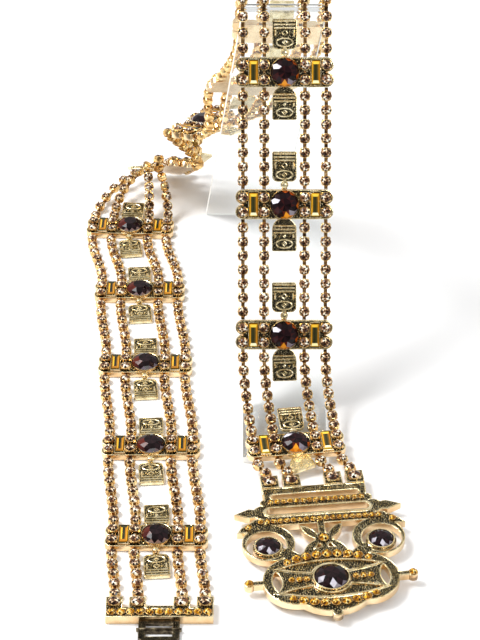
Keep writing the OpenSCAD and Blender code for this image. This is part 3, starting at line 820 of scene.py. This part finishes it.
def makeBar():
    shape = Shape()
    shape.addSlab(barOutline(), bar["thickness"], bar["rim"], bar["sink"], bar["bevel"], 0)
    shape.addLathe(bar["collet"], bar["flutes"] * 2, [0, 0, 0, 1, 1, 1], flute=bar["fluteDepth"])
    wide, long = bar["boxWidth"] / 2, bar["boxLength"] / 2
    levels = ((0, bar["boxFoot"]), (0, bar["boxTop"] - bar["boxRound"]), (bar["boxRound"], bar["boxTop"]),
              (bar["boxWall"], bar["boxTop"]), (bar["boxWall"], bar["boxFloor"]))
    for x in (-baguetteX, baguetteX):
        rings = [rectangle(x - wide, -long, x + wide, long, z, inset) for inset, z in levels]
        shape.addLoft(rings, [0, 1, 1, 2])
    for x in chain["offsets"]:
        shape.addDome(x, 0, bar["thickness"] - bar["sink"], bar["bead"], bar["beadRise"], 8)
    half, reach = bar["ledge"] / 2, bar["postReach"]
    shape.addBox((-half, bar["length"] / 2 - bar["ledgeStart"], 0),
                 (half, reach + bar["ledgeBeyond"], bar["ledgeThickness"]), bar["ledgeBevel"])
    shape.addLathe(bar["post"], 12, 1, (0, reach))
    return granulate(shape.makeObject("bar"), bar, seeds["bar"])


barRows = range(1, barCount + 1)
barItem = makeBar()
barParts = [setOnPoints("bars", [atRow(i, 0, 0, 0) for i in barRows], barItem, castFinishes)]
chatons = [atRow(i, off, side * chain["pitch"] / 2, bar["chatonBase"])
           for i in barRows for off in chain["offsets"] for side in (-1, 1)]
barParts += cupsAt("chaton", chatons, bar["chatonHeight"], seeds["chatons"])


# Cast plates: a slab with three ribs, an oval ring, a lozenge between two pillars, and grains over its ground
plate = {
    "width": 11.8, "thickness": 1.5, "loopedLength": 14.5, "fixedLength": 16.0, "firstLength": 9.0,
    "roundEnd": 5.6, "corner": 0.9, "shoulder": 2.6, "rim": 0.4, "sink": 0.35, "bevel": 0.2, "lift": 0.2,
    "wireBase": 1.42, "wire": 0.42, "thinWire": 0.7, "ribWire": 1.1, "pillarWire": 1.2,
    "reliefStart": 0.3, "reliefShort": 3, "ribEnd": 1.1, "ribStep": 1.6, "ribReach": 5.0, "fieldBeyond": 0.2,
    "field": 0.75, "fieldBevel": 0.03, "ovalPlace": 3.4, "oval": (3.9, 2.0), "ovalSteps": 24, "lozenge": 1.1,
    "pillar": 4.4, "pillarGap": 0.6, "dotInside": 2, "spacing": 0.72, "smallest": 0.5, "largest": 0.85,
    "ringRadius": 1.85, "ringHole": 1.15, "ringBase": 1.65, "ringThickness": 0.6, "ringRound": 0.15,
    "neckHalf": 0.8, "neckStart": 1.2, "neckEnd": 3.0, "neckBevel": 0.1, "ringNeck": 1.4, "twistNeck": 2.6,
    "overlap": 0.4, "grainFinish": metals["champagne gold"],
}
plateAim = {"bare": 0.7, "twistBay": 7, "nearPart": 0.28, "farPart": 0.81, "firstPart": 0.4,
            "nearFace": 0.08, "twistFace": 0.28, "farFace": 0.87}


# Outline of a plate with rounded corners: a hanging plate has broad shoulders, and a fixed one a round end
def plateOutline(length, hangs):
    half, corner = plate["width"] / 2, plate["corner"]
    near, steps = (plate["shoulder"], 6) if hangs else (corner, 4)
    far = (arcPoints(half - corner, length - corner, corner, 0, 90, 4)
           + arcPoints(corner - half, length - corner, corner, 90, 180, 4))
    if not hangs:
        far = arcPoints(0, length - plate["roundEnd"], half, 0, 180, 16)
    return (arcPoints(half - near, near, near, -90, 0, steps) + far
            + arcPoints(near - half, near, near, 180, 270, steps))


def lozenge(x, y, r):
    return [(x + r, y), (x, y + r), (x - r, y), (x, y - r)]


# The ribs and the oval lie on dark fields, which are finish 0
def addRelief(shape, y0, length):
    z, r = plate["wireBase"], plate["wire"]
    thin, rib = r * plate["thinWire"], r * plate["ribWire"]
    lastRib = y0 + length - plate["ribEnd"] - 2 * plate["ribStep"]
    reach, field, low = plate["ribReach"], plate["field"], plate["thickness"] - plate["sink"] - 0.1
    side = reach + plate["fieldBeyond"]
    shape.addBox((-side, lastRib - field, low), (side, lastRib + 2 * plate["ribStep"] + field / 2, z),
                 plate["fieldBevel"])
    for k in range(3):
        y = lastRib + k * plate["ribStep"]
        shape.addRod((-reach, y, z), (reach, y, z), rib)
    oval, wide, high = y0 + plate["ovalPlace"], *plate["oval"]
    angles = np.linspace(0, 2 * math.pi, plate["ovalSteps"] + 1)[:-1]
    ring = [(wide * math.cos(a), oval + high * math.sin(a)) for a in angles]
    grown = [(x * (1 + field / wide), oval + (y - oval) * (1 + field / high)) for x, y in ring]
    shape.addLoft([[(x, y, h) for x, y in grown] for h in (low, z)])
    shape.addWire(ring, z, r)
    shape.addWire(lozenge(0, oval, plate["lozenge"]), z, thin)
    shape.addDome(0, oval, z, r, r * 1.2, 6, 1)
    start, end = oval + high + r + plate["pillarGap"], lastRib - r - plate["pillarGap"]
    middle, pillar = (start + end) / 2, plate["pillar"]
    for x in (-1, 1):
        shape.addRod((x * pillar, start, z), (x * pillar, end, z), r * plate["pillarWire"])
        shape.addDome(x * (pillar - plate["dotInside"]), middle, z, r, r * 1.3, 6, 1)
    shape.addWire(lozenge(0, middle, (end - start) / 2), z, thin)


def addPlateBody(shape, length, hangs):
    shape.addSlab(plateOutline(length, hangs), plate["thickness"], plate["rim"], plate["sink"],
                  plate["bevel"], 1)


def makeLoopedPlate(neck, seed):
    shape = Shape()
    addPlateBody(shape, plate["loopedLength"], True)
    addRelief(shape, 0, plate["loopedLength"])
    shape.move(neck, plate["lift"])
    r, hole, soft, wide = plate["ringRadius"], plate["ringHole"], plate["ringRound"], plate["neckHalf"]
    base, top = plate["ringBase"], plate["ringBase"] + plate["ringThickness"]
    shape.addLathe([(hole, base + soft), (hole + soft, base), (r - soft, base), (r, base + soft),
                    (r, top - soft), (r - soft, top), (hole + soft, top), (hole, top - soft),
                    (hole, base + soft)], 20, 1, close=False)
    shape.addBox((-wide, plate["neckStart"], base), (wide, plate["neckEnd"], top), plate["neckBevel"], 1)
    shape.move(0, -base - plate["ringThickness"] / 2)
    return granulate(shape.makeObject("looped plate"), plate, seed)


def makeFixedPlate(length, relief, seed):
    shape = Shape()
    addPlateBody(shape, length, False)
    if relief:
        addRelief(shape, plate["reliefStart"], length - plate["reliefShort"])
    shape.move(-length, plate["lift"])
    return granulate(shape.makeObject("fixed plate"), plate, seed)


def bayMiddle(i, part):
    curves = [bayCurve(i, off)[0] for off in (-inner, inner)]
    return sum(bezier(q, share(q, part)) for q in curves) / 2


def plateWay(i, way, bay):
    v = unit(way)
    face = rows[i]["face"]
    return v - (0 if bay == plateAim["twistBay"] else plateAim["bare"]) * (v @ face) * face


def loopedPlace(i):
    row = rows[i]
    post = row["place"] + bar["postReach"] * row["along"]
    way = plateWay(i, bayMiddle(i, plateAim["nearPart"]) - post, i)
    part = plateAim["twistFace" if i == plateAim["twistBay"] else "nearFace"]
    ringMiddle = plate["ringBase"] + plate["ringThickness"] / 2
    return placing(post + ringMiddle * row["face"], way, bayFace(i, part))


def fixedPlace(i):
    row = rows[i]
    start = row["place"] - (row["half"] - plate["overlap"]) * row["along"]
    part = plateAim["firstPart" if i == 1 else "farPart"]
    way = plateWay(i, start - bayMiddle(i - 1, part), i - 1)
    return placing(start, way, bayFace(i - 1, plateAim["farFace"]))


# The first bar's fixed plate is short, plain and bright. The plate in the twisted bay has a longer neck.
plateFinishes = [metals["sooty gold"], *castFinishes[1:]]
twisted = [plateAim["twistBay"]]
hanging = [(makeLoopedPlate(plate["ringNeck"], seeds["plates"][0]), [i for i in barRows if i not in twisted]),
           (makeLoopedPlate(plate["twistNeck"], seeds["plates"][1]), twisted)]
fixed = [(makeFixedPlate(plate["fixedLength"], True, seeds["plates"][2]), barRows[1:], plateFinishes),
         (makeFixedPlate(plate["firstLength"], False, seeds["plates"][3]), barRows[:1], castFinishes[1:2])]
looped = [setOnPoints("looped", [loopedPlace(i) for i in some], item, plateFinishes)
          for item, some in hanging]
barParts += [setOnPoints("fixed", [fixedPlace(i) for i in some], item, finishes)
             for item, some, finishes in fixed]
finishPiece("stationBars", barParts, [f"bar_{i}" for i in barRows])
finishPiece("loopedPlates", looped, [f"plate_{i}" for i in barRows])
discard(barItem, *[group[0] for group in hanging + fixed])
print("station bars and plates made")


# Large dark stones, whose facet tones are painted glints and reflections. Each tone rule holds levels of
# facets, a range of degrees round the stone, the lowest tone, its spread and its chance. The first rule that
# fits is taken.
gem = {
    "diameter": 13.4, "seat": 2.65, "girdle": 1.7, "crown": 3.0, "sides": 12, "spin": 0.2,
    "rings": [(0.5, 0.0), (0.42, 0.48), (0.24, 0.9)], "standingCount": 5,
    # Painted light on standing stones: a lavender glint at the upper left, an orange painted reflection low
    # at the rim and thinly at the upper right
    "standing": [((2, 3), 130, 155, 0.92, 0.06, 1), ((0, 1, 2), 245, 290, 0.6, 0.14, 1),
                 ((0, 1, 2), 290, 325, 0.79, 0.05, 1), ((0, 1), 30, 100, 0.52, 0.12, 1),
                 ((0, 1), 325, 360, 0.52, 0.12, 1), ((3,), 225, 300, 0.4, 0.08, 1),
                 (range(5), 0, 360, 0.04, 0.3, 1)],
    # Painted light on lying stones, seen from the other side: a red-brown painted reflection at one end and a
    # lavender one low at the rim
    "lying": [((1, 2, 3), 0, 50, 0.33, 0.1, 1), ((1, 2, 3), 325, 360, 0.33, 0.1, 1),
              ((1,), 50, 140, 0.79, 0.04, 1), ((2,), 70, 85, 0.79, 0.04, 1),
              (range(5), 0, 360, 0.02, 0.28, 1)],
    # Nearly black, with painted lavender glints low at the rim
    "buckle": [((1, 2), 200, 320, 0.8, 0.14, 0.6), (range(5), 0, 360, 0.02, 0.3, 1)],
}
standing, lying = barRows[:gem["standingCount"]], barRows[gem["standingCount"]:]


def makeGem(rules, belly, seed):
    def toneOf(degrees, level, rng):
        for levels, start, end, low, spread, chance in gem[rules]:
            if level in levels and start <= degrees <= end and (chance == 1 or rng.random() < chance):
                return low + spread * rng.random()
    return makeRound("gem", gem["sides"], gem["rings"], toneOf, belly, seed)


def setGems(places, item, wide, crown, spin, seed):
    return setOnPoints("gems", places, item, [crystals["dark topaz"]], wide, wide, crown, spin, seed)


gems = []
for rules, some in (("standing", standing), ("lying", lying)):
    gemItem = makeGem(rules, gem["girdle"] / gem["crown"], seeds["gems"])
    places = [atRow(i, 0, 0, gem["seat"] + gem["girdle"]) for i in some]
    gems.append(setGems(places, gemItem, gem["diameter"], gem["crown"], gem["spin"],
                        seeds["gemTurns"]))
    discard(gemItem)
finishPiece("centreStones", gems, [f"stone_{i}" for i in barRows])

# Baguettes. The strips are the tones of the keel under the table. Each side has a tone beside the keel and
# one on its bevel. All these tones are painted reflections and highlights, laid out apart for standing and
# lying stones by how the light falls on them.
baguette = {
    "width": 4.3, "length": 11.3, "seat": 2.45, "girdle": 1.3, "table": 2.1, "step": 0.5, "stepPart": 0.55,
    "stepDrop": 0.35, "keel": 1.25, "keelEnd": 1.3, "wallTone": 0.33, "lowerBevel": 0.14,
    "standing": {"strips": (0.2, 0.07, 0.13, 0.25),
                 "sides": ((0.97, 0.74), (0.4, 0.5), (0.7, 0.42), (0.46, 0.6))},
    "lying": {"strips": (0.35, 0.03, 0.02, 0.62),
              "sides": ((0.12, 0.22), (0.32, 0.36), (0.37, 0.33), (0.5, 0.46))},
}


# Step cut, with a painted dark keel and painted bright highlights at its ends, standing in for the
# pavilion's reflections seen through its table
def makeBaguette(tones):
    shape = Shape()
    w, l, z = baguette["width"] / 2, baguette["length"] / 2, baguette["table"]
    step = baguette["step"]

    def corners(inset, level):
        return shape.addPoints(rectangle(-w, -l, w, l, level, inset))

    base, girdle = corners(0, 0), corners(0, baguette["girdle"])
    middle, table = corners(step * baguette["stepPart"], z - baguette["stepDrop"]), corners(step, z)
    band, ends = baguette["keel"], l - step - baguette["keelEnd"]
    keel = shape.addPoints(rectangle(-band, -ends, band, ends, z))
    strips = tones["strips"]
    places = [band * (2 * k / len(strips) - 1) for k in range(1, len(strips))]
    low = [keel[0]] + shape.addPoints([(x, -ends, z) for x in places]) + [keel[1]]
    high = [keel[3]] + shape.addPoints([(x, ends, z) for x in places]) + [keel[2]]
    beside = (low[::-1], (keel[2], keel[1]), high, (keel[0], keel[3]))
    for k, (tableTone, bevelTone) in enumerate(tones["sides"]):
        n = (k + 1) % 4
        shape.addFace((base[k], base[n], girdle[n], girdle[k]), 0, baguette["wallTone"])
        shape.addFace((girdle[k], girdle[n], middle[n], middle[k]), 0, bevelTone - baguette["lowerBevel"])
        shape.addFace((middle[k], middle[n], table[n], table[k]), 0, bevelTone)
        shape.addFace((table[k], table[n], *beside[k]), 0, tableTone)
    for k, tone in enumerate(strips):
        shape.addFace((low[k], low[k + 1], high[k + 1], high[k]), 0, tone)
    shape.addFace(reversed(base), 0, 0)
    return shape.makeObject("baguette")


baguetteItems = [(makeBaguette(baguette["standing"]), standing), (makeBaguette(baguette["lying"]), lying)]
for side, name in ((-1, "left"), (1, "right")):
    stones = []
    for item, some in baguetteItems:
        places = [atRow(i, side * baguetteX, 0, baguette["seat"]) for i in some]
        stones.append(setOnPoints("baguettes", places, item, [crystals["amber"]],
                                  seed=seeds["baguettes"] + side))
    finishPiece(f"baguetteStones_{name}", stones, [f"baguettes_{name}"])
discard(*[item for item, some in baguetteItems])
print("stones made")


# Castings that take their outline from the frame: bevelled edges, raised rims and a sunk, blackened ground
def rowMatrix(i):
    row = rows[i]
    columns = [(*row[key], 0) for key in ("across", "along", "face")] + [(*row["place"], 1 / mm)]
    return Matrix(columns).transposed() * mm


def nodeMesh(node):
    work = bmesh.new()
    work.from_mesh(nodes[node].data)
    bmesh.ops.remove_doubles(work, verts=work.verts, dist=1e-6)
    return work


levelSlack = 0.02


def facesAt(work, level):
    return [f for f in work.faces
            if f.normal.z > 0.99 and abs(f.calc_center_median().z - level) < levelSlack]


# A copy of the node with rims along its flat tops. Material 0 is its sides, 1 its rims and 2 its ground.
# Each level holds its height, the rim's width and the ground's depth. A cut takes away what stands above its
# height between two places along the row.
def dressCasting(node, row, look):
    work = nodeMesh(node)
    work.transform(rowMatrix(row).inverted())
    if "cut" in look:
        low, high, level = look["cut"]
        above = [v for v in work.verts if v.co.z > level + levelSlack and low < v.co.y < high]
        bmesh.ops.delete(work, geom=above, context="VERTS")
        bmesh.ops.holes_fill(work, edges=[e for e in work.edges if e.is_boundary], sides=0)
    faceOutward(work)
    walls = [f for f in work.faces if abs(f.normal.z) < 0.1]
    bmesh.ops.join_triangles(work, faces=walls, angle_face_threshold=0.02, angle_shape_threshold=0.7)
    sharp = []
    for level, rim, sink in look["levels"]:
        tops = facesAt(work, level)
        inside = set(tops)
        for f in tops:
            f.material_index = 2 if rim else 1
            sharp += [e for e in f.edges if not all(g in inside for g in e.link_faces)]
        if rim:
            even = {"use_even_offset": True, "use_boundary": True}
            for f in bmesh.ops.inset_region(work, faces=tops, thickness=rim, **even)["faces"]:
                f.material_index = 1
            bmesh.ops.inset_region(work, faces=tops, thickness=sink * 0.4, depth=-sink, **even)
    for level in look.get("grounds", ()):
        for f in facesAt(work, level):
            f.material_index = 2
    sharp = [e for e in set(sharp) if e.is_valid and e.is_convex]
    bmesh.ops.bevel(work, geom=sharp, offset=look["bevel"], segments=2, affect="EDGES", profile=0.5,
                    clamp_overlap=True, material=1)
    work.transform(rowMatrix(row))
    mesh = bpy.data.meshes.new(node + " casting")
    work.to_mesh(mesh)
    work.free()
    for material in look["finishes"]:
        mesh.materials.append(material)
    casting = addObject(node + " casting", mesh)
    return granulate(casting, look, seeds["grains"], mm) if "spacing" in look else casting


# The points of each separate solid of a node, in millimetres
def findIslands(node):
    work = nodeMesh(node)
    left, islands = set(work.verts), []
    while left:
        reached, edge = set(), [left.pop()]
        while edge:
            vertex = edge.pop()
            reached.add(vertex)
            edge += [w for e in vertex.link_edges for w in e.verts if w in left]
            left.difference_update(edge)
        islands.append(np.array([v.co for v in reached]) / mm)
    work.free()
    return islands


setting = {"bezel": 1.14, "bezelHeight": 0.9, "sunk": 0.45, "stone": 1.03, "stoneHeight": 0.75,
           "crown": 0.5, "girdle": 0.3}


# Each citrine of the node in its own bezel, as a bezel piece and a stone piece
def setCitrines(node, row, seed):
    aim, face = rows[row]["along"], rows[row]["face"]
    places = []
    for points in findIslands(node):
        middle = boxMiddle(points)
        base = middle - ((middle - points) @ face).max() * face
        reach = np.linalg.norm(points - base - ((points - base) @ face)[:, None] * face, axis=1).max()
        places.append((base, 2 * reach))
    places.sort(key=lambda p: tuple(np.round(p[0], 3)))
    ring, wide, high = setting["bezel"], setting["stone"], setting["crown"]
    bezels = [(p - setting["sunk"] * face, aim, face, (d * ring, d * ring, 1)) for p, d in places]
    stones = [(p + setting["girdle"] * face, aim, face, (d * wide, d * wide, d * high)) for p, d in places]
    return [setOnPoints(node + " bezels", bezels, bezel, [metals["chain gold"]],
                        height=setting["bezelHeight"]),
            setOnPoints(node + " stones", stones, sparkle, [crystals["citrine"]],
                        height=setting["stoneHeight"], spin=math.pi, seed=seed)]


# Buckle
castLook = {"finishes": castFinishes, "grainFinish": metals["champagne gold"], "cupHeight": 1.2}
buckle = {**castLook, "cut": (-3.5, 5, 4.0), "bevel": 0.25, "grounds": (2.6,),
          "levels": ((3.4, 0.55, 0.35), (4.0, 0.4, 0.25), (3.8, 0, 0), (4.6, 0, 0)),
          "spacing": 0.8, "smallest": 0.5, "largest": 0.85, "blockTop": 3.8, "cupSize": 1.26,
          "stoneGirdle": 1.8, "stoneBelly": 0.5}
hook = {"finishes": castFinishes, "bevel": 0.15, "levels": ((-0.15, 0, 0), (-2.1, 0, 0))}


def makeBlockRow(name, node, row, look, seed):
    blocks = [atRow(row, off, 0, look["blockTop"]) for off in chain["offsets"]]
    cups = cupsAt(node + " block", blocks, look["cupHeight"], seed, look["cupSize"])
    finishPiece(name, [dressCasting(node, row, look)] + cups, [node], 30)


makeBlockRow("buckleCasting", "buckle_frame", 0, buckle, seeds["buckleBlocks"])
finishPiece("bucklePave", setCitrines("buckle_pave", 0, seeds["pave"]), ["buckle_pave"])
gemItem = makeGem("buckle", buckle["stoneBelly"], seeds["buckleGems"])
for name in ("large", "left", "right"):
    points = nodePoints(f"buckle_stone_{name}")
    middle = boxMiddle(points)
    wide = np.linalg.norm((points - middle)[:, :2], axis=1).max() * 2
    crown = points[:, 2].max() - points[:, 2].min() - buckle["stoneGirdle"]
    place = (np.array([middle[0], middle[1], points[:, 2].max() - crown]), rows[0]["along"], rows[0]["face"])
    stone = setGems([place], gemItem, wide, crown, 0.0, 1)
    finishPiece(f"buckleStone_{name}", [stone], [f"buckle_stone_{name}"])
finishPiece("hook", [dressCasting("buckle_hook", 0, hook)], ["buckle_hook"])
print("buckle made")

# End bar and catch ladder
endBar = {**castLook, "cut": (-3.5, 3.3, 4.4), "bevel": 0.2, "levels": ((4.4, 0.45, 0.25), (3.0, 0.4, 0.2)),
          "spacing": 0.9, "smallest": 0.5, "largest": 0.9, "blockTop": 4.2, "cupSize": 1.15}
ladder = {"finishes": [metals["dark bronze"], metals["dark bronze"], metals["blackened gold"]], "bevel": 0.15,
          "levels": ((1.8, 0.4, 0.2), (2.4, 0, 0)), "spacing": 0.7, "smallest": 0.4, "largest": 0.7,
          "grainFinish": metals["dark bronze"]}
endRow = len(rows) - 1
makeBlockRow("endBar", "end_bar", endRow, endBar, seeds["endBlocks"])
finishPiece("endStones", setCitrines("end_stones", endRow, seeds["endStones"]), ["end_stones"])
finishPiece("catchLadder", [dressCasting("catch_ladder", endRow, ladder)], ["catch_ladder"], 30)
discard(cup, bezel, sparkle, tab, grain, gemItem)
print("end bar made")


# Display stand: one clear sheet, bent over at the top and out at the front foot
sheet = {
    "width": 41.0, "thickness": 3.0, "frontSlope": 60, "backSlope": 68, "topRadius": 8.1, "topHeight": 160.6,
    "lipToTop": 137.8, "footRadius": 5.0, "skew": -20.0, "steps": 28, "edgeRound": 0.4, "bevelFrom": 50,
    "sharp": 15, "refraction": 1.49, "tint": (0.97, 0.985, 0.985, 1), "haze": (0.0, 0.03),
    "edgeTint": (0.6, 0.59, 0.56, 1), "edgeHaze": (0.08, 0.3), "paintedGlow": (0.96, 0.97, 0.95, 1),
    "paintedGlowStrength": 0.4,
}


# Each station of the sheet holds its upper and lower point, seen from the side, and its shift sideways
def findStations(lip):
    topY, topZ = lip + sheet["lipToTop"], sheet["topHeight"]
    front, back = math.radians(sheet["frontSlope"]), math.radians(sheet["backSlope"])
    t, r, f = sheet["thickness"], sheet["topRadius"], sheet["footRadius"]
    footZ = t + f
    footY = (math.cos(front) * (footZ - topZ) + math.sin(front) * topY - r - f) / math.sin(front)
    stations = [((lip, t), (lip, 0), 0)]
    for y, z, reach, start, turn in ((footY, footZ, f, 0, front), (topY, topZ, -r, front, -front - back)):
        for k in range(sheet["steps"] + 1):
            a = start + turn * k / sheet["steps"]
            stations.append((*[(y + s * math.sin(a), z - s * math.cos(a)) for s in (reach, reach + t)], 0))
    full = (topZ + r * math.cos(back)) / math.sin(back) + t
    ends = [(topY + s * math.sin(back) + (topZ + s * math.cos(back)) / math.tan(back), 0) for s in (r, r - t)]
    return stations + [(*ends, sheet["skew"] * (full - t) / full)]


def makeStand(materials):
    low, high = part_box("stand")
    right = high[0] / mm
    left = right - sheet["width"]
    shape = Shape()
    shape.addLoft([[(left + dx, *a), (right + dx, *a), (right + dx, *b), (left + dx, *b)]
                   for a, b, dx in findStations(low[1] / mm)])
    stand = shape.makeObject("stand", materials)
    stand.data.transform(Matrix.Scale(mm, 4))
    points = stand.data.vertices
    for polygon in stand.data.polygons:
        shortest = min((points[a].co - points[b].co).length for a, b in polygon.edge_keys)
        isEdge = abs(polygon.normal.x) > 0.5 or abs(shortest - sheet["thickness"] * mm) < 0.3 * mm
        polygon.material_index = int(isEdge)
    bevel = stand.modifiers.new("round", "BEVEL")
    bevel.width = sheet["edgeRound"] * mm
    bevel.segments = 2
    bevel.limit_method = "ANGLE"
    bevel.angle_limit = math.radians(sheet["bevelFrom"])
    bevel.material = 1
    return plainMesh(stand)


acrylic, tree = newMaterial("clear acrylic", Transmission_Weight=1.0, IOR=sheet["refraction"],
                            Base_Color=sheet["tint"])
feedShader(tree, Roughness=addRange(tree, addNoise(tree, 60), *sheet["haze"]))
# Polished edges carry a faint painted glow, an emission standing in for the light that the sheet carries
# to them
acrylicEdge, tree = newMaterial("acrylic edge", Emission_Strength=sheet["paintedGlowStrength"],
                                Emission_Color=sheet["paintedGlow"], IOR=sheet["refraction"],
                                Base_Color=sheet["edgeTint"])
feedShader(tree, Roughness=addRange(tree, addNoise(tree, 500), *sheet["edgeHaze"]))
finishPiece("clearStand", [makeStand([acrylic, acrylicEdge])], ["stand"], sheet["sharp"])
print("stand made")

# Floor and light
studio = {
    "floorReach": 4.0, "floorHeight": -0.0002, "paper": (0.93, 0.93, 0.93, 1), "bright": 0.8, "dim": 0.22,
    "dimWay": (0.05, -0.92, 0.39), "dimFrom": 0.35, "dimTo": 0.85, "lampAim": (0, 0, 0.05),
    "lamps": {"key": ((-0.75, 0.1, 1.1), (0.6, 0.5), 18), "front": ((0.5, -0.9, 0.9), (0.6, 0.25), 5)},
}
half = studio["floorReach"]
floorMesh = bpy.data.meshes.new("floor")
floorMesh.from_pydata(rectangle(-half, -half, half, half, studio["floorHeight"]), [], [(0, 1, 2, 3)])
floorMesh.materials.append(newMaterial("white paper", Roughness=0.6, Base_Color=studio["paper"])[0])
floor = addObject("floor", floorMesh)

# A white studio whose far end, behind the camera, is dim
world = bpy.data.worlds.new("studio")
bpy.context.scene.world = world
world.use_nodes = True
background = world.node_tree.nodes["Background"]
background.inputs["Color"].default_value = (1, 1, 1, 1)
ways = fromNode(world.node_tree, "ShaderNodeTexCoord", "Generated")
towards = fromNode(world.node_tree, "ShaderNodeVectorMath", "Value", {0: ways, 1: studio["dimWay"]},
                   operation="DOT_PRODUCT")
level = fromNode(world.node_tree, "ShaderNodeMapRange", "Result",
                 {"Value": towards, "From Min": studio["dimFrom"], "From Max": studio["dimTo"],
                  "To Min": studio["bright"], "To Max": studio["dim"]}, interpolation_type="SMOOTHSTEP")
world.node_tree.links.new(level, background.inputs["Strength"])

for name, (place, size, power) in studio["lamps"].items():
    lamp = bpy.data.lights.new(name, "AREA")
    lamp.shape = "RECTANGLE"
    lamp.size, lamp.size_y = size
    lamp.energy = power
    holder = addObject(name, lamp)
    holder.location = place
    holder.rotation_euler = (Vector(studio["lampAim"]) - Vector(place)).to_track_quat("-Z", "Y").to_euler()
bpy.context.scene.view_settings.view_transform = "Standard"
